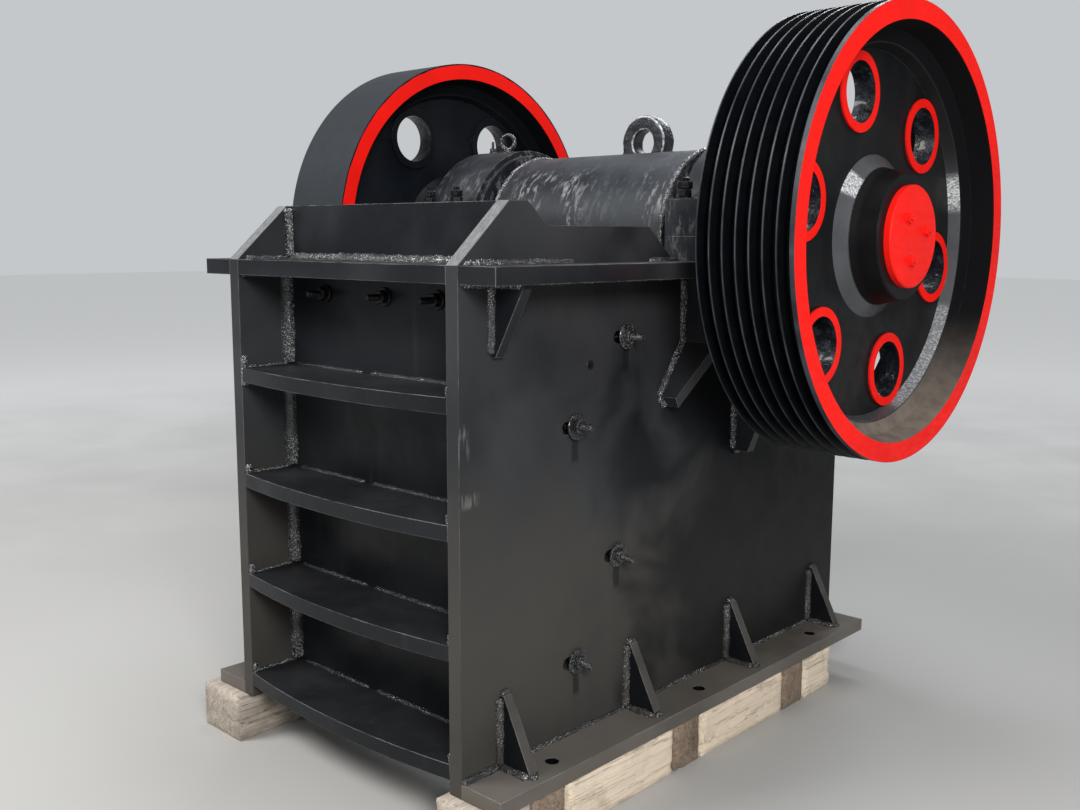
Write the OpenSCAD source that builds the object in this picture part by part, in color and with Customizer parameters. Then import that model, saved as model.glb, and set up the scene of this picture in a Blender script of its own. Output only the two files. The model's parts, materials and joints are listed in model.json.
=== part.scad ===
// Single-toggle jaw crusher with a welded plate frame, a grooved drive wheel and a plain flywheel.
// Machine coordinates inside the modules: x is across the feed mouth, with the drive wheel at +x,
// y runs from the front edges of the side plates to the rear, and z is up from the frame's underside.

/* [Frame] */
// Clear width between the side plates
inner_w = 840; // [780:1:900]
// Thickness of each side plate
side_t = 40; // [28:1:50]
// Length of the side plates, front to rear
frame_len = 1750; // [1700:1:1850]
// Height of the top flange's upper face
frame_h = 1256; // [1200:1:1320]
// Set-back of the front wall behind the front edges
wall_setback = 160; // [130:1:190]
// Thickness of the front wall
front_wall_t = 40; // [28:1:50]
// Thickness of the top flange
top_flange_t = 42; // [30:1:50]
// Width of the side flanges outside the side plates
top_flange_w = 119; // [100:1:140]

/* [Front ribs] */
// Thickness of each front rib
rib_t = 39; // [25:1:50]
// How far a front rib bows forward at mid width
rib_bow = 35; // [10:1:60]
// Height of the first rib's upper face
rib_1_z = 958; // [930:1:985]
// Height of the second rib's upper face
rib_2_z = 660; // [630:1:690]
// Height of the third rib's upper face
rib_3_z = 370; // [340:1:400]
// Height of the bottom rib's upper face
rib_4_z = 75; // [60:1:110]

/* [Feed mouth] */
// Height of the ears and of the lip above the top flange
lip_h = 147; // [120:1:170]
// Set-back of the lip behind the front edges
lip_setback = 172; // [166:1:185]
// Thickness of the lip
lip_t = 28; // [20:1:36]
// Start of the ear's level top
ear_top_start = 163; // [145:1:170]
// Length of the ear's level top
ear_top_len = 62; // [40:1:90]
// Run of the slope behind the ear's top
ear_fall_run = 68; // [50:1:90]
// Height of the low rear part of the ear above the top flange
ear_low_h = 91; // [70:1:110]
// Length of the low rear part of the ear
ear_low_len = 396; // [370:1:410]
// Run of the slope at the ear's rear end
ear_end_run = 110; // [80:1:125]

/* [Base] */
// Thickness of the base flanges
base_flange_t = 37; // [28:1:50]
// Width of the base flanges outside the side plates
base_flange_w = 132; // [120:1:150]
// Gap between the base flanges' rear ends and the side plates' rear edges
base_flange_short = 12; // [0:1:40]
// Distance of the first anchor hole behind the front edges
anchor_start = 238; // [225:1:250]
// Spacing of the three anchor holes in each flange
anchor_pitch = 627; // [615:1:635]
// Distance of the anchor holes from the side plates
anchor_out = 73; // [60:1:85]
// Diameter of the anchor holes
anchor_d = 35; // [24:1:42]
// Height of the base gussets above the flange
base_gusset_h = 184; // [150:1:210]
// Foot of the base gussets, out from the side plate
base_gusset_w = 101; // [80:1:112]
// Thickness of the gussets
gusset_t = 29; // [20:1:36]
// Upright edge at a gusset's outer foot
gusset_toe = 12; // [6:1:20]
// Level edge at a gusset's thin end
gusset_nose = 14; // [8:1:24]
// Distance of the first base gusset behind the front edges
gusset_start = 128; // [110:1:140]
// Distance of the last base gusset ahead of the rear edges
gusset_end = 152; // [130:1:180]
// Drop of the gusset under each side flange
top_gusset_h = 170; // [150:1:190]
// Reach of the gusset under each side flange
top_gusset_w = 100; // [80:1:115]
// Distance of the flange gusset behind the front edges
top_gusset_y = 103; // [90:1:130]

/* [Bearings] */
// Distance of the shaft behind the front edges
shaft_y = 1159; // [1140:1:1180]
// Height of the shaft above the top flange
shaft_rise = 67; // [58:1:76]
// Outer radius of the bearing housings
housing_r = 287; // [278:1:294]
// Width of each bearing housing
housing_w = 213; // [200:1:225]
// How far the housing reaches inside the side plate's inner face
housing_inset = 6; // [2:1:12]
// Length of the housing feet, front to rear
foot_len = 680; // [660:1:700]
// Height of the cap's feet
foot_t = 100; // [80:1:115]
// Radius of the fillets between a cap's feet and its arch
foot_fillet = 24; // [10:1:36]
// Radius of the seal ring on the housing's inner face
seal_r = 269; // [250:1:275]
// Radius of the seal ring on the housing's outer face
outer_seal_r = 205; // [190:1:225]
// Thickness of the seal rings
seal_t = 12; // [8:1:16]
// Diameter of the shaft's bearing journals
journal_d = 200; // [180:1:220]
// Thickness of the ribs below the housings
support_t = 29; // [20:1:36]
// Upright length of the front support rib, below the flange
support_drop = 194; // [170:1:220]
// Height of the front support rib's slanting lower part
support_slant_h = 145; // [120:1:160]
// Forward run of the slanting part
support_slant_run = 105; // [90:1:120]
// Width of the support ribs at their lower ends
support_foot_w = 42; // [30:1:55]
// How far the middle support rib reaches below the housing
middle_rib_drop = 345; // [300:1:380]
// Distance of the middle support rib ahead of the shaft
middle_rib_ahead = 16; // [0:1:40]

/* [Wheels] */
// Diameter of both wheels
wheel_d = 1200; // [1160:1:1240]
// Width of both wheel rims
rim_w = 271; // [266:1:290]
// Gap between a bearing housing and the rim beside it
wheel_gap = 72; // [60:1:90]
// Thickness of the rim at its outer face
rim_t = 52; // [40:1:60]
// Radius of the web where it meets the rim
rim_root_r = 493; // [488:1:500]
// Thickness of the web
web_t = 42; // [30:1:56]
// Distance from the rim's outer face to the web
web_recess = 115; // [100:1:125]
// Radius of the circle through the six web holes
hole_circle_r = 386; // [375:1:388]
// Radius of each web hole
hole_r = 79; // [70:1:83]
// Width of the raised ring round each web hole
hole_ring_w = 24; // [16:1:26]
// Height of the raised rings
hole_ring_h = 9; // [4:1:14]
// Turn of the drive wheel's holes from the rearward direction, in degrees
drive_hole_turn = 106.8; // [90:0.1:120]
// Turn of the flywheel's holes from the rearward direction, in degrees
fly_hole_turn = 119; // [90:0.1:120]
// Radius of the hub's outer end
hub_r = 166; // [150:1:178]
// Diameter of the shaft in the hubs
hub_bore_d = 170; // [150:1:180]
// How far the hub and its cover stand past the rim's outer face
hub_proud = 5; // [0:1:12]
// Radius of the shaft's end covers
cover_r = 135; // [118:1:145]
// Thickness of the shaft's end covers
cover_t = 20; // [12:1:26]
// Number of belt grooves
groove_count = 7; // [5:1:7]
// Spacing of the belt grooves
groove_pitch = 37; // [36:0.5:37.5]
// Distance of the first groove's middle from the rim's inner face
groove_edge = 20; // [18:1:24]
// Depth of each belt groove
groove_depth = 28; // [20:1:30]
// Width of each belt groove at the rim
groove_top_w = 31.5; // [28:0.5:33]
// Width of each belt groove at its bottom
groove_bottom_w = 13; // [10:1:18]

/* [Swing jaw] */
// Throw of the eccentric
throw = 12; // [8:1:16]
// Diameter of the shaft's eccentric part
eccentric_d = 240; // [230:1:260]
// Outer radius of the swing jaw's barrel
barrel_r = 268; // [255:1:275]
// Gap between the barrel's covers and the housings' seal rings
barrel_gap = 23; // [15:1:30]
// Radius of the covers on the barrel's ends
barrel_cover_r = 232; // [210:1:245]
// Thickness of the covers on the barrel's ends
barrel_cover_t = 30; // [20:1:34]
// Bevel round the barrel's ends
barrel_bevel = 12; // [4:1:20]
// Thickness of the swing jaw's front slab
slab_t = 75; // [60:1:90]
// Thickness of the swing jaw's rear ribs
web_rib_t = 45; // [35:1:60]
// Reach of the toggle seat behind the slab
seat_reach = 150; // [140:1:165]
// Thickness of the swing jaw's cross rib
cross_rib_t = 40; // [30:1:50]
// Outer radius of the lifting eye
eye_r = 85; // [78:1:96]
// Radius of the lifting eye's hole
eye_hole_r = 42; // [35:1:48]
// Thickness of the lifting eye
eye_t = 54; // [45:1:70]
// Chamfer on the lifting eye's edges
eye_chamfer = 12; // [4:1:15]
// Distance of the lifting eye behind the shaft
eye_back = 116; // [90:1:125]
// Height of the lifting eye's middle above the barrel's crest
eye_rise = 42; // [25:1:50]

/* [Crushing chamber] */
// Gape between the jaws at the top
gape = 500; // [485:1:510]
// Gap between the jaws at the outlet
outlet = 90; // [70:1:110]
// Height of the jaw plates' lower edge
jaw_bottom_z = 145; // [140:1:155]
// Drop from the top flange to the jaw plates' upper edge
jaw_top_drop = 20; // [12:1:40]
// Gap between the jaw plates and the cheek plates
jaw_side_gap = 18; // [12:1:24]
// Thickness of the jaw plates at the bottom of the teeth
jaw_t = 52; // [45:1:62]
// Height of the teeth
tooth_h = 28; // [20:1:34]
// Number of teeth across a jaw plate
tooth_count = 10; // [9:1:13]
// Thickness of the cheek plates
cheek_t = 42; // [35:1:46]
// How far the cheek plates reach behind the moving jaw's teeth
cheek_back = 86; // [60:1:100]
// How far behind the front edge the cheek plates' studs are, from the top one down
cheek_stud_y = [597, 399, 570, 409]; // [370:1:620]
// Heights of the cheek plates' studs, from the top one down
cheek_stud_z = [1063, 847, 482, 229]; // [200:1:1080]
// Width of the slot at each cheek stud
cheek_slot_w = 34; // [28:1:40]
// How far each slot runs on in front of its stud
cheek_slot_run = 33; // [24:1:42]
// Height of the wedge above the moving jaw plate
wedge_h = 44; // [35:1:50]

/* [Toggle and rear] */
// Distance of the rear wall's outer face before the side plates' rear edges
rear_wall_recess = 166; // [150:1:180]
// Thickness of the rear wall
rear_wall_t = 40; // [30:1:50]
// Height of the rear wall
rear_wall_h = 930; // [900:1:960]
// Height of the rear wall's middle rib
rear_rib_z = 640; // [628:1:670]
// Height of the brackets on the rear ribs
bracket_h = 240; // [180:1:260]
// Thickness of the toggle plate
toggle_t = 54; // [44:1:58]
// Gap from the swing jaw's side to the toggle's end
toggle_side_gap = 30; // [20:1:50]
// Radius of the toggle's rounded ends
toggle_end_r = 33; // [31:1:36]
// Clearance round the toggle's open front end, besides the throw
toggle_open = 6; // [5:1:10]
// Depth of the toggle seats
seat_depth = 56; // [52:1:60]
// Half height of the toggle seats
seat_half_h = 66; // [60:1:72]
// Height of the front toggle seat
front_seat_z = 290; // [285:1:296]
// Height of the rear toggle seat
rear_seat_z = 454; // [446:1:462]
// Depth of the adjusting block
block_depth = 126; // [110:1:140]
// Height of the adjusting block
block_h = 232; // [210:1:250]
// Thickness of the rails above and below the adjusting block
rail_t = 30; // [20:1:36]
// Width of those rails
rail_w = 52; // [40:1:56]
// Thickness of the pack of shims
shim_t = 58; // [40:1:80]
// Number of shims
shim_count = 4; // [2:1:6]
// Gap from the side plates to the shims
shim_side_gap = 68; // [58:1:90]
// Diameter of the tension rod
rod_d = 44; // [36:1:48]
// Height of the tension rod
rod_z = 127; // [124:1:132]
// Clearance round the rod in the rear wall
rod_hole_gap = 7; // [4:1:10]
// Diameter of the rod's front pin
pin_d = 25; // [20:1:30]
// Thickness of the swing jaw's lug between the rod's fork arms
lug_t = 30; // [24:1:36]
// Thickness of the rod's fork arms
fork_t = 20; // [14:1:24]
// Clearance between the fork and the lug
fork_gap = 6; // [5:1:8]
// How far the tension rod reaches past the side plates' rear edges
rod_reach = 178; // [160:1:190]
// Outer diameter of the spring
spring_d = 140; // [125:1:144]
// Diameter of the spring's wire
spring_wire_d = 20; // [16:1:22]
// Number of turns of the spring
spring_turns = 5; // [4:1:6]

/* [Timbers] */
// Height of the timbers under the frame
timber_h = 135; // [100:1:170]
// Width of the timber rows
timber_w = 193; // [160:1:220]
// How far the timber rows reach past the front edges
timber_front = 38; // [36:1:60]
// Distance of the timber rows' ends ahead of the rear edges
timber_rear = 211; // [110:1:250]
// How far the left row lies outside the right row's mirrored place
left_row_out = 42; // [0:1:50]
// Length of the short blocks along the row
short_block = 122; // [100:1:140]
// Distance of the first short block behind the front edges
first_block_y = 112; // [100:1:125]
// Spacing of the short blocks
block_pitch = 565; // [545:1:580]
// Gap between neighbouring timbers
timber_gap = 3; // [1:1:8]

/* [Hidden] */
$fn = 96;

// Paint and material colours
paint = [0.09, 0.09, 0.10];
red = [0.90, 0.16, 0.10];
cast = [0.16, 0.16, 0.17];
bare_steel = [0.42, 0.41, 0.40];
wood = [0.62, 0.56, 0.47];

// Clearances
fit_gap = 0.05;
seat_gap = 0.3;
cheek_gap = 2;
eps = 1;

// Frame
plate_in = inner_w / 2;
plate_out = plate_in + side_t;
chamber_y = wall_setback + front_wall_t;
flange_z = frame_h - top_flange_t;
rear_wall_y = frame_len - rear_wall_recess;
gusset_pitch = (frame_len - gusset_start - gusset_end) / 3;

// Shaft line
shaft_z = frame_h + shaft_rise;
ecc_z = shaft_z - throw;
housing_in = plate_in - housing_inset;
housing_out = housing_in + housing_w;
foot_y = shaft_y - foot_len / 2;
wheel_r = wheel_d / 2;
rim_in = housing_out + wheel_gap;
rim_out = rim_in + rim_w;
web_out = rim_out - web_recess;
web_in = web_out - web_t;
hub_end = rim_out + hub_proud - cover_t;
hub_start = housing_out + 2 * seal_t;
barrel_half = housing_in - seal_t - barrel_gap - barrel_cover_t;

// Jaws
jaw_full_t = jaw_t + tooth_h;
jaw_top_z = frame_h - jaw_top_drop;
jaw_h = jaw_top_z - jaw_bottom_z;
jaw_w = inner_w - 2 * (cheek_t + jaw_side_gap);
jaw_slope = (gape - outlet) / jaw_h;
jaw_lean = atan(jaw_slope);
swing_plate_h = (jaw_h - wedge_h - 16) / cos(jaw_lean);
slab_bottom_y = chamber_y + jaw_full_t + outlet + jaw_full_t / cos(jaw_lean);
slab_run = slab_t / cos(jaw_lean);

// Toggle line
seat_z = front_seat_z - throw;
front_axis_y = slab_bottom_y + (front_seat_z - jaw_bottom_z) * jaw_slope + slab_run + seat_reach;
seat_back_y = front_axis_y - seat_depth - throw - toggle_open;
block_y = rear_wall_y - rear_wall_t - shim_t - block_depth;
rear_axis_y = block_y + seat_depth / 4;
toggle_w = 2 * (barrel_half - toggle_side_gap);
seat_w = toggle_w + 2 * cheek_t - 2 * toggle_side_gap + 16;

// Rod line
pin_y = front_axis_y - seat_depth - throw;
lug_r = 2 * pin_d;
rod_hole_d = rod_d + 2 * rod_hole_gap;
washer_t = rod_d / 3;
spring_start_y = rear_wall_y + washer_t;
spring_end_y = frame_len + rod_reach / 2;

// Outside box
timber_x = plate_out + base_flange_w - timber_w;
timber_end = frame_len - timber_rear;
y_min = -max(rib_bow, timber_front);
y_max = max(frame_len + rod_reach, shaft_y + wheel_r);
mid_y = (y_min + y_max) / 2;

// Y of the moving jaw's tooth tips, and of the slab behind its plate, at height z
function jaw_y(z) = chamber_y + jaw_full_t + outlet + (z - jaw_bottom_z) * jaw_slope;
function slab_y(z) = slab_bottom_y + (z - jaw_bottom_z) * jaw_slope;

// Puts machine coordinates on the floor, centred on the whole machine
module on_floor() translate([0, -mid_y, timber_h]) children();

// Extrudes a (y, z) outline along x from x0 to x1
module along_x(x0, x1)
  translate([x0, 0, 0]) rotate([90, 0, 90]) linear_extrude(x1 - x0) children();

// Extrudes an (x, z) outline along y from y0 to y1
module along_y(y0, y1)
  translate([0, y1, 0]) rotate([90, 0, 0]) linear_extrude(y1 - y0) children();

// Turns a (radius, x) outline about the line y = yc, z = zc
module about_shaft(yc, zc)
  translate([0, yc, zc]) rotate([0, 90, 0]) rotate_extrude($fn = 180) children();

// A cylinder along x from x0 to x1
module x_cylinder(x0, x1, r, yc, zc)
  translate([x0, yc, zc]) rotate([0, 90, 0]) cylinder(h = x1 - x0, r = r, $fn = 120);

// A cylinder along y from y0 to y1 on the rod's line
module y_cylinder(y0, y1, d)
  translate([0, y1, rod_z]) rotate([90, 0, 0]) cylinder(h = y1 - y0, d = d, $fn = 64);

module box(x0, x1, y0, y1, z0, z1)
  translate([x0, y0, z0]) cube([x1 - x0, y1 - y0, z1 - z0]);

module on_left() mirror([1, 0, 0]) children();

// Side plates

function side_outline() = let(
    ear_z = frame_h + lip_h,
    low_z = frame_h + ear_low_h,
    y1 = ear_top_start + ear_top_len,
    y2 = y1 + ear_fall_run,
    y3 = y2 + ear_low_len)
  [[0, 0], [frame_len, 0], [frame_len, frame_h], [y3 + ear_end_run, frame_h],
   [y3, low_z], [y2, low_z], [y1, ear_z], [ear_top_start, ear_z], [0, frame_h]];

// A slot for a cheek stud, which lets the stud be set forward of its place
module cheek_slot(y, z) {
  r = cheek_slot_w / 2;
  x_cylinder(plate_in - eps, plate_out + eps, r, y, z);
  x_cylinder(plate_in - eps, plate_out + eps, r, y - cheek_slot_run, z);
  box(plate_in - eps, plate_out + eps, y - cheek_slot_run, y, z - r, z + r);
}

module side_plate() difference() {
  along_x(plate_in, plate_out) polygon(side_outline());
  x_cylinder(plate_in - eps, plate_out + eps, housing_r, shaft_y, shaft_z);
  for (i = [0 : len(cheek_stud_y) - 1]) cheek_slot(cheek_stud_y[i], cheek_stud_z[i]);
}

module side_plate_left() on_floor() color(paint) on_left() side_plate();
module side_plate_right() on_floor() color(paint) side_plate();

// Front

module front_wall() on_floor() color(paint)
  box(-plate_in, plate_in, wall_setback, chamber_y, 0, frame_h);

module feed_lip() on_floor() color(paint)
  box(-plate_in, plate_in, lip_setback, lip_setback + lip_t, frame_h, frame_h + lip_h);

// A front rib: a plate between the side plates whose front edge is an arc
module front_rib(top_z) {
  bow_r = (plate_in * plate_in + rib_bow * rib_bow) / (2 * rib_bow);
  translate([0, 0, top_z - rib_t]) linear_extrude(rib_t) intersection() {
    translate([-plate_in, -rib_bow]) square([inner_w, wall_setback + rib_bow]);
    translate([0, bow_r - rib_bow]) circle(r = bow_r, $fn = 720);
  }
}

module front_rib_1() on_floor() color(paint) front_rib(rib_1_z);
module front_rib_2() on_floor() color(paint) front_rib(rib_2_z);
module front_rib_3() on_floor() color(paint) front_rib(rib_3_z);
module front_rib_bottom() on_floor() color(paint) front_rib(rib_4_z);

// Top flange

module top_flange_front() on_floor() color(paint)
  box(-plate_in, plate_in, 0, wall_setback, flange_z, frame_h);

module top_flange() difference() {
  box(plate_out, plate_out + top_flange_w, 0, frame_len, flange_z, frame_h);
  x_cylinder(plate_out - eps, plate_out + top_flange_w + eps, housing_r, shaft_y, shaft_z);
}

module top_flange_left() on_floor() color(paint) on_left() top_flange();
module top_flange_right() on_floor() color(paint) top_flange();

// Base

module base_flange() difference() {
  box(plate_out, plate_out + base_flange_w, 0, frame_len - base_flange_short, 0, base_flange_t);
  for (i = [0 : 2])
    translate([plate_out + anchor_out, anchor_start + i * anchor_pitch, -eps])
      cylinder(h = base_flange_t + 2 * eps, d = anchor_d, $fn = 48);
}

module base_flange_left() on_floor() color(paint) on_left() base_flange();
module base_flange_right() on_floor() color(paint) base_flange();

// An upright gusset standing out from the side plate, from y0 on
module gusset(y0, outline)
  along_y(y0, y0 + gusset_t) translate([plate_out, 0]) polygon(outline);

module base_gussets() for (i = [0 : 3])
  gusset(gusset_start + i * gusset_pitch,
    [[0, base_flange_t], [base_gusset_w, base_flange_t], [base_gusset_w, base_flange_t + gusset_toe],
     [gusset_nose, base_flange_t + base_gusset_h], [0, base_flange_t + base_gusset_h]]);

module base_gussets_left() on_floor() color(paint) on_left() base_gussets();
module base_gussets_right() on_floor() color(paint) base_gussets();

// The gusset under the side flange, and the bent front rib and upright middle rib under the housing

module support_ribs() {
  w = top_flange_w;
  y0 = foot_y + gusset_t;
  y1 = y0 + support_t;
  bend_z = flange_z - support_drop;
  end_z = bend_z - support_slant_h;
  middle_z = shaft_z - housing_r - middle_rib_drop;
  middle_y = shaft_y - middle_rib_ahead;
  gusset(top_gusset_y,
    [[0, flange_z], [top_gusset_w, flange_z], [top_gusset_w, flange_z - gusset_toe],
     [gusset_nose, flange_z - top_gusset_h], [0, flange_z - top_gusset_h]]);
  difference() {
    union() {
      intersection() {
        along_x(plate_out, plate_out + w) polygon([
          [y0, flange_z], [y1, flange_z], [y1, bend_z - support_t / 2],
          [y1 - support_slant_run, end_z - support_t / 2], [y0 - support_slant_run, end_z + support_t / 2],
          [y0, bend_z + support_t / 2]]);
        along_y(0, frame_len) translate([plate_out, 0]) polygon([
          [0, end_z - support_t], [support_foot_w, end_z - support_t],
          [w, bend_z + support_t], [w, flange_z], [0, flange_z]]);
      }
      along_y(middle_y - support_t, middle_y) translate([plate_out, 0]) polygon([
        [0, middle_z], [support_foot_w + gusset_toe, middle_z],
        [w, middle_z + middle_rib_drop / 2], [w, shaft_z], [0, shaft_z]]);
    }
    x_cylinder(plate_out - eps, plate_out + w + eps, housing_r + seat_gap, shaft_y, shaft_z);
  }
}

module support_ribs_left() on_floor() color(paint) on_left() support_ribs();
module support_ribs_right() on_floor() color(paint) support_ribs();

// Bearing housings: a lower half that sits in the side plate's round seat, and a cap bolted on top.
// Their outlines are drawn round the shaft, with y to the rear and z up.

module half_disc(r, upper) intersection() {
  circle(r = r, $fn = 180);
  translate([-2 * r, upper ? 0 : -2 * r]) square([4 * r, 2 * r]);
}

module cap_outline() {
  rise = foot_t + foot_fillet;
  out = sqrt(pow(housing_r + foot_fillet, 2) - rise * rise);
  k = housing_r / (housing_r + foot_fillet);
  half_disc(housing_r, true);
  translate([-foot_len / 2, 0]) square([foot_len, foot_t]);
  for (side = [0, 1]) mirror([side, 0]) difference() {
    polygon([[out, foot_t - eps], [out, foot_t], [out * k, rise * k], [out * k - 6, foot_t - eps]]);
    translate([out, rise]) circle(r = foot_fillet, $fn = 48);
  }
}

module saddle_outline() {
  half_disc(housing_r, false);
  translate([-foot_len / 2, -shaft_rise]) square([foot_len, shaft_rise]);
}

module at_shaft(x0, x1) along_x(x0, x1) translate([shaft_y, shaft_z]) children();

module bearing_half(upper) difference() {
  union() {
    at_shaft(housing_in, housing_out) {
      if (upper) cap_outline();
      else saddle_outline();
    }
    at_shaft(housing_in - seal_t, housing_in) half_disc(seal_r, upper);
    at_shaft(housing_out, housing_out + seal_t) half_disc(outer_seal_r, upper);
  }
  x_cylinder(0, rim_in, journal_d / 2 + fit_gap, shaft_y, shaft_z);
}

module bearing_housing_left() on_floor() color(paint) on_left() bearing_half(false);
module bearing_housing_right() on_floor() color(paint) bearing_half(false);
module bearing_cap_left() on_floor() color(paint) on_left() bearing_half(true);
module bearing_cap_right() on_floor() color(paint) bearing_half(true);

// Rear wall

module rear_wall() on_floor() color(paint) difference() {
  box(-plate_in, plate_in, rear_wall_y - rear_wall_t, rear_wall_y, 0, rear_wall_h);
  y_cylinder(rear_wall_y - rear_wall_t - eps, rear_wall_y + eps, rod_hole_d);
}

module rear_ribs() on_floor() color(paint) {
  for (z = [0, rear_rib_z, rear_wall_h - rib_t])
    box(-plate_in, plate_in, rear_wall_y, frame_len, z, z + rib_t);
  for (side = [-1, 1]) for (z = [0, rear_rib_z - rib_t - bracket_h]) {
    x = side * inner_w * 0.3;
    up = z == 0;
    z0 = up ? rib_t : rear_rib_z;
    d = up ? 1 : -1;
    along_x(x - gusset_t / 2, x + gusset_t / 2) polygon([
      [rear_wall_y, z0], [frame_len - gusset_t, z0], [frame_len - gusset_t, z0 + d * gusset_toe],
      [rear_wall_y + gusset_nose, z0 + d * bracket_h], [rear_wall_y, z0 + d * bracket_h]]);
  }
}

// Crushing chamber

// The bar welded to the front wall that the fixed jaw plate stands on
module jaw_support_bar() on_floor() color(paint) along_x(-plate_in, plate_in)
  polygon([[chamber_y, jaw_bottom_z - 1.6 * rib_t], [chamber_y + 0.8 * jaw_t, jaw_bottom_z - rib_t],
           [chamber_y + 0.8 * jaw_t, jaw_bottom_z], [chamber_y, jaw_bottom_z]]);

// A toothed plate: back on y = 0, teeth towards +y, height along z
module toothed_plate(h) {
  pitch = jaw_w / tooth_count;
  flat = pitch * 0.2;
  linear_extrude(h) polygon(concat(
    [[jaw_w / 2, 0], [-jaw_w / 2, 0]],
    [for (i = [0 : tooth_count - 1]) let(x = -jaw_w / 2 + i * pitch)
      each [[x, jaw_t], [x + flat / 2, jaw_t], [x + pitch / 2 - flat / 2, jaw_full_t],
            [x + pitch / 2 + flat / 2, jaw_full_t], [x + pitch - flat / 2, jaw_t]]],
    [[jaw_w / 2, jaw_t]]));
}

module fixed_jaw_plate() on_floor() color(bare_steel)
  translate([0, chamber_y, jaw_bottom_z]) toothed_plate(jaw_h);

// An upper and a lower wear plate on each side plate, between the jaws
module cheek_plates() {
  split_z = (jaw_bottom_z + jaw_top_z) / 2;
  y0 = chamber_y + cheek_gap;
  low = jaw_bottom_z + cheek_t / 2;
  high = jaw_top_z - cheek_t / 2;
  along_x(plate_in - cheek_t, plate_in) {
    polygon([[y0, low], [jaw_y(low) + cheek_back, low], [jaw_y(split_z) + cheek_back, split_z - cheek_back],
             [jaw_y(split_z) + cheek_back, split_z - cheek_gap / 2], [y0, split_z - cheek_gap / 2]]);
    polygon([[y0, split_z + cheek_gap / 2], [jaw_y(split_z) + cheek_back, split_z + cheek_gap / 2],
             [jaw_y(high) + cheek_t / 2, high - 2 * cheek_t], [jaw_y(high) + cheek_t / 2, high], [y0, high]]);
  }
}

module cheek_plates_left() on_floor() color(bare_steel) on_left() cheek_plates();
module cheek_plates_right() on_floor() color(bare_steel) cheek_plates();

// Toggle, adjusting block and shims

// Rails on the side plates that hold the adjusting block from below and above
module block_rails() on_floor() color(paint) for (side = [0, 1]) mirror([side, 0, 0])
  for (z = [rear_seat_z - block_h / 2 - rail_t, rear_seat_z + block_h / 2])
    box(plate_in - rail_w, plate_in, block_y - rail_w, rear_wall_y - rear_wall_t, z, z + rail_t);

module adjusting_block() on_floor() color(cast) difference() {
  box(-plate_in + seat_gap, plate_in - seat_gap, block_y, block_y + block_depth,
      rear_seat_z - block_h / 2, rear_seat_z + block_h / 2);
  box(-seat_w / 2, seat_w / 2, block_y - eps, block_y + seat_depth,
      rear_seat_z - seat_half_h, rear_seat_z + seat_half_h);
}

module shim_pack() on_floor() color(bare_steel) for (i = [0 : shim_count - 1]) {
  t = shim_t / shim_count;
  y = block_y + block_depth + i * t;
  box(-plate_in + shim_side_gap, plate_in - shim_side_gap, y, y + t - (i < shim_count - 1 ? seat_gap : 0),
      rear_seat_z - block_h / 2 + 4 * seat_gap, rear_seat_z + block_h / 2 + rail_t + (i % 2) * t);
}

// Both seats are blocks with a round groove along x for the toggle's end
module rear_toggle_seat() on_floor() color(bare_steel) difference() {
  box(-seat_w / 2 + seat_gap, seat_w / 2 - seat_gap, block_y + seat_depth / 8, block_y + seat_depth,
      rear_seat_z - seat_half_h + seat_gap, rear_seat_z + seat_half_h - seat_gap);
  x_cylinder(-seat_w, seat_w, toggle_end_r + seat_gap, rear_axis_y, rear_seat_z);
}

module front_toggle_seat() on_floor() color(bare_steel) difference() {
  box(-seat_w / 2, seat_w / 2, seat_back_y, front_axis_y + toggle_open,
      seat_z - seat_half_h, seat_z + seat_half_h);
  x_cylinder(-seat_w, seat_w, toggle_end_r + throw + toggle_open, front_axis_y, seat_z);
}

module toggle_plate() on_floor() color(bare_steel) along_x(-toggle_w / 2, toggle_w / 2) {
  rise = rear_seat_z - front_seat_z;
  run = rear_axis_y - front_axis_y;
  span = norm([run, rise]);
  translate([front_axis_y, front_seat_z]) rotate(atan2(rise, run)) {
    translate([0, -toggle_t / 2]) square([span, toggle_t]);
    circle(r = toggle_end_r);
    translate([span, 0]) circle(r = toggle_end_r);
  }
}

// Tension rod and spring

module tension_rod() on_floor() color(bare_steel) {
  arm_r = 1.3 * pin_d;
  arm_x = lug_t / 2 + fork_gap;
  back_y = pin_y + lug_r + 2 * throw;
  nut_y = spring_end_y + washer_t;
  for (x = [-arm_x - fork_t, arm_x]) {
    x_cylinder(x, x + fork_t, arm_r, pin_y, rod_z);
    box(x, x + fork_t, pin_y, back_y + pin_d, rod_z - pin_d, rod_z + pin_d);
  }
  box(-arm_x - fork_t, arm_x + fork_t, back_y, back_y + pin_d, rod_z - pin_d, rod_z + pin_d);
  x_cylinder(-arm_x - 1.4 * fork_t, arm_x + 1.4 * fork_t, pin_d / 2, pin_y, rod_z);
  y_cylinder(back_y, frame_len + rod_reach, rod_d);
  difference() {
    y_cylinder(rear_wall_y, spring_start_y, 1.1 * spring_d);
    y_cylinder(rear_wall_y - eps, spring_start_y + eps, rod_d - eps);
  }
  y_cylinder(spring_end_y, nut_y, 1.1 * spring_d);
  for (i = [0, 1]) translate([0, nut_y + (i + 1) * 0.8 * rod_d + i * seat_gap, rod_z]) rotate([90, 30 * i, 0])
    cylinder(h = 0.8 * rod_d, d = 1.8 * rod_d, $fn = 6);
}

// One level slice of the spring's coil: the wire's round section drawn out along the winding
function coil_slice(rise, n) = let(
    r = spring_wire_d / 2,
    mean = spring_d / 2 - r,
    span = 360 * r / rise)
  concat([for (i = [0 : n]) coil_point(-1 + 2 * i / n, 1, r, mean, span)],
         [for (i = [n - 1 : -1 : 1]) coil_point(-1 + 2 * i / n, -1, r, mean, span)]);

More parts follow.
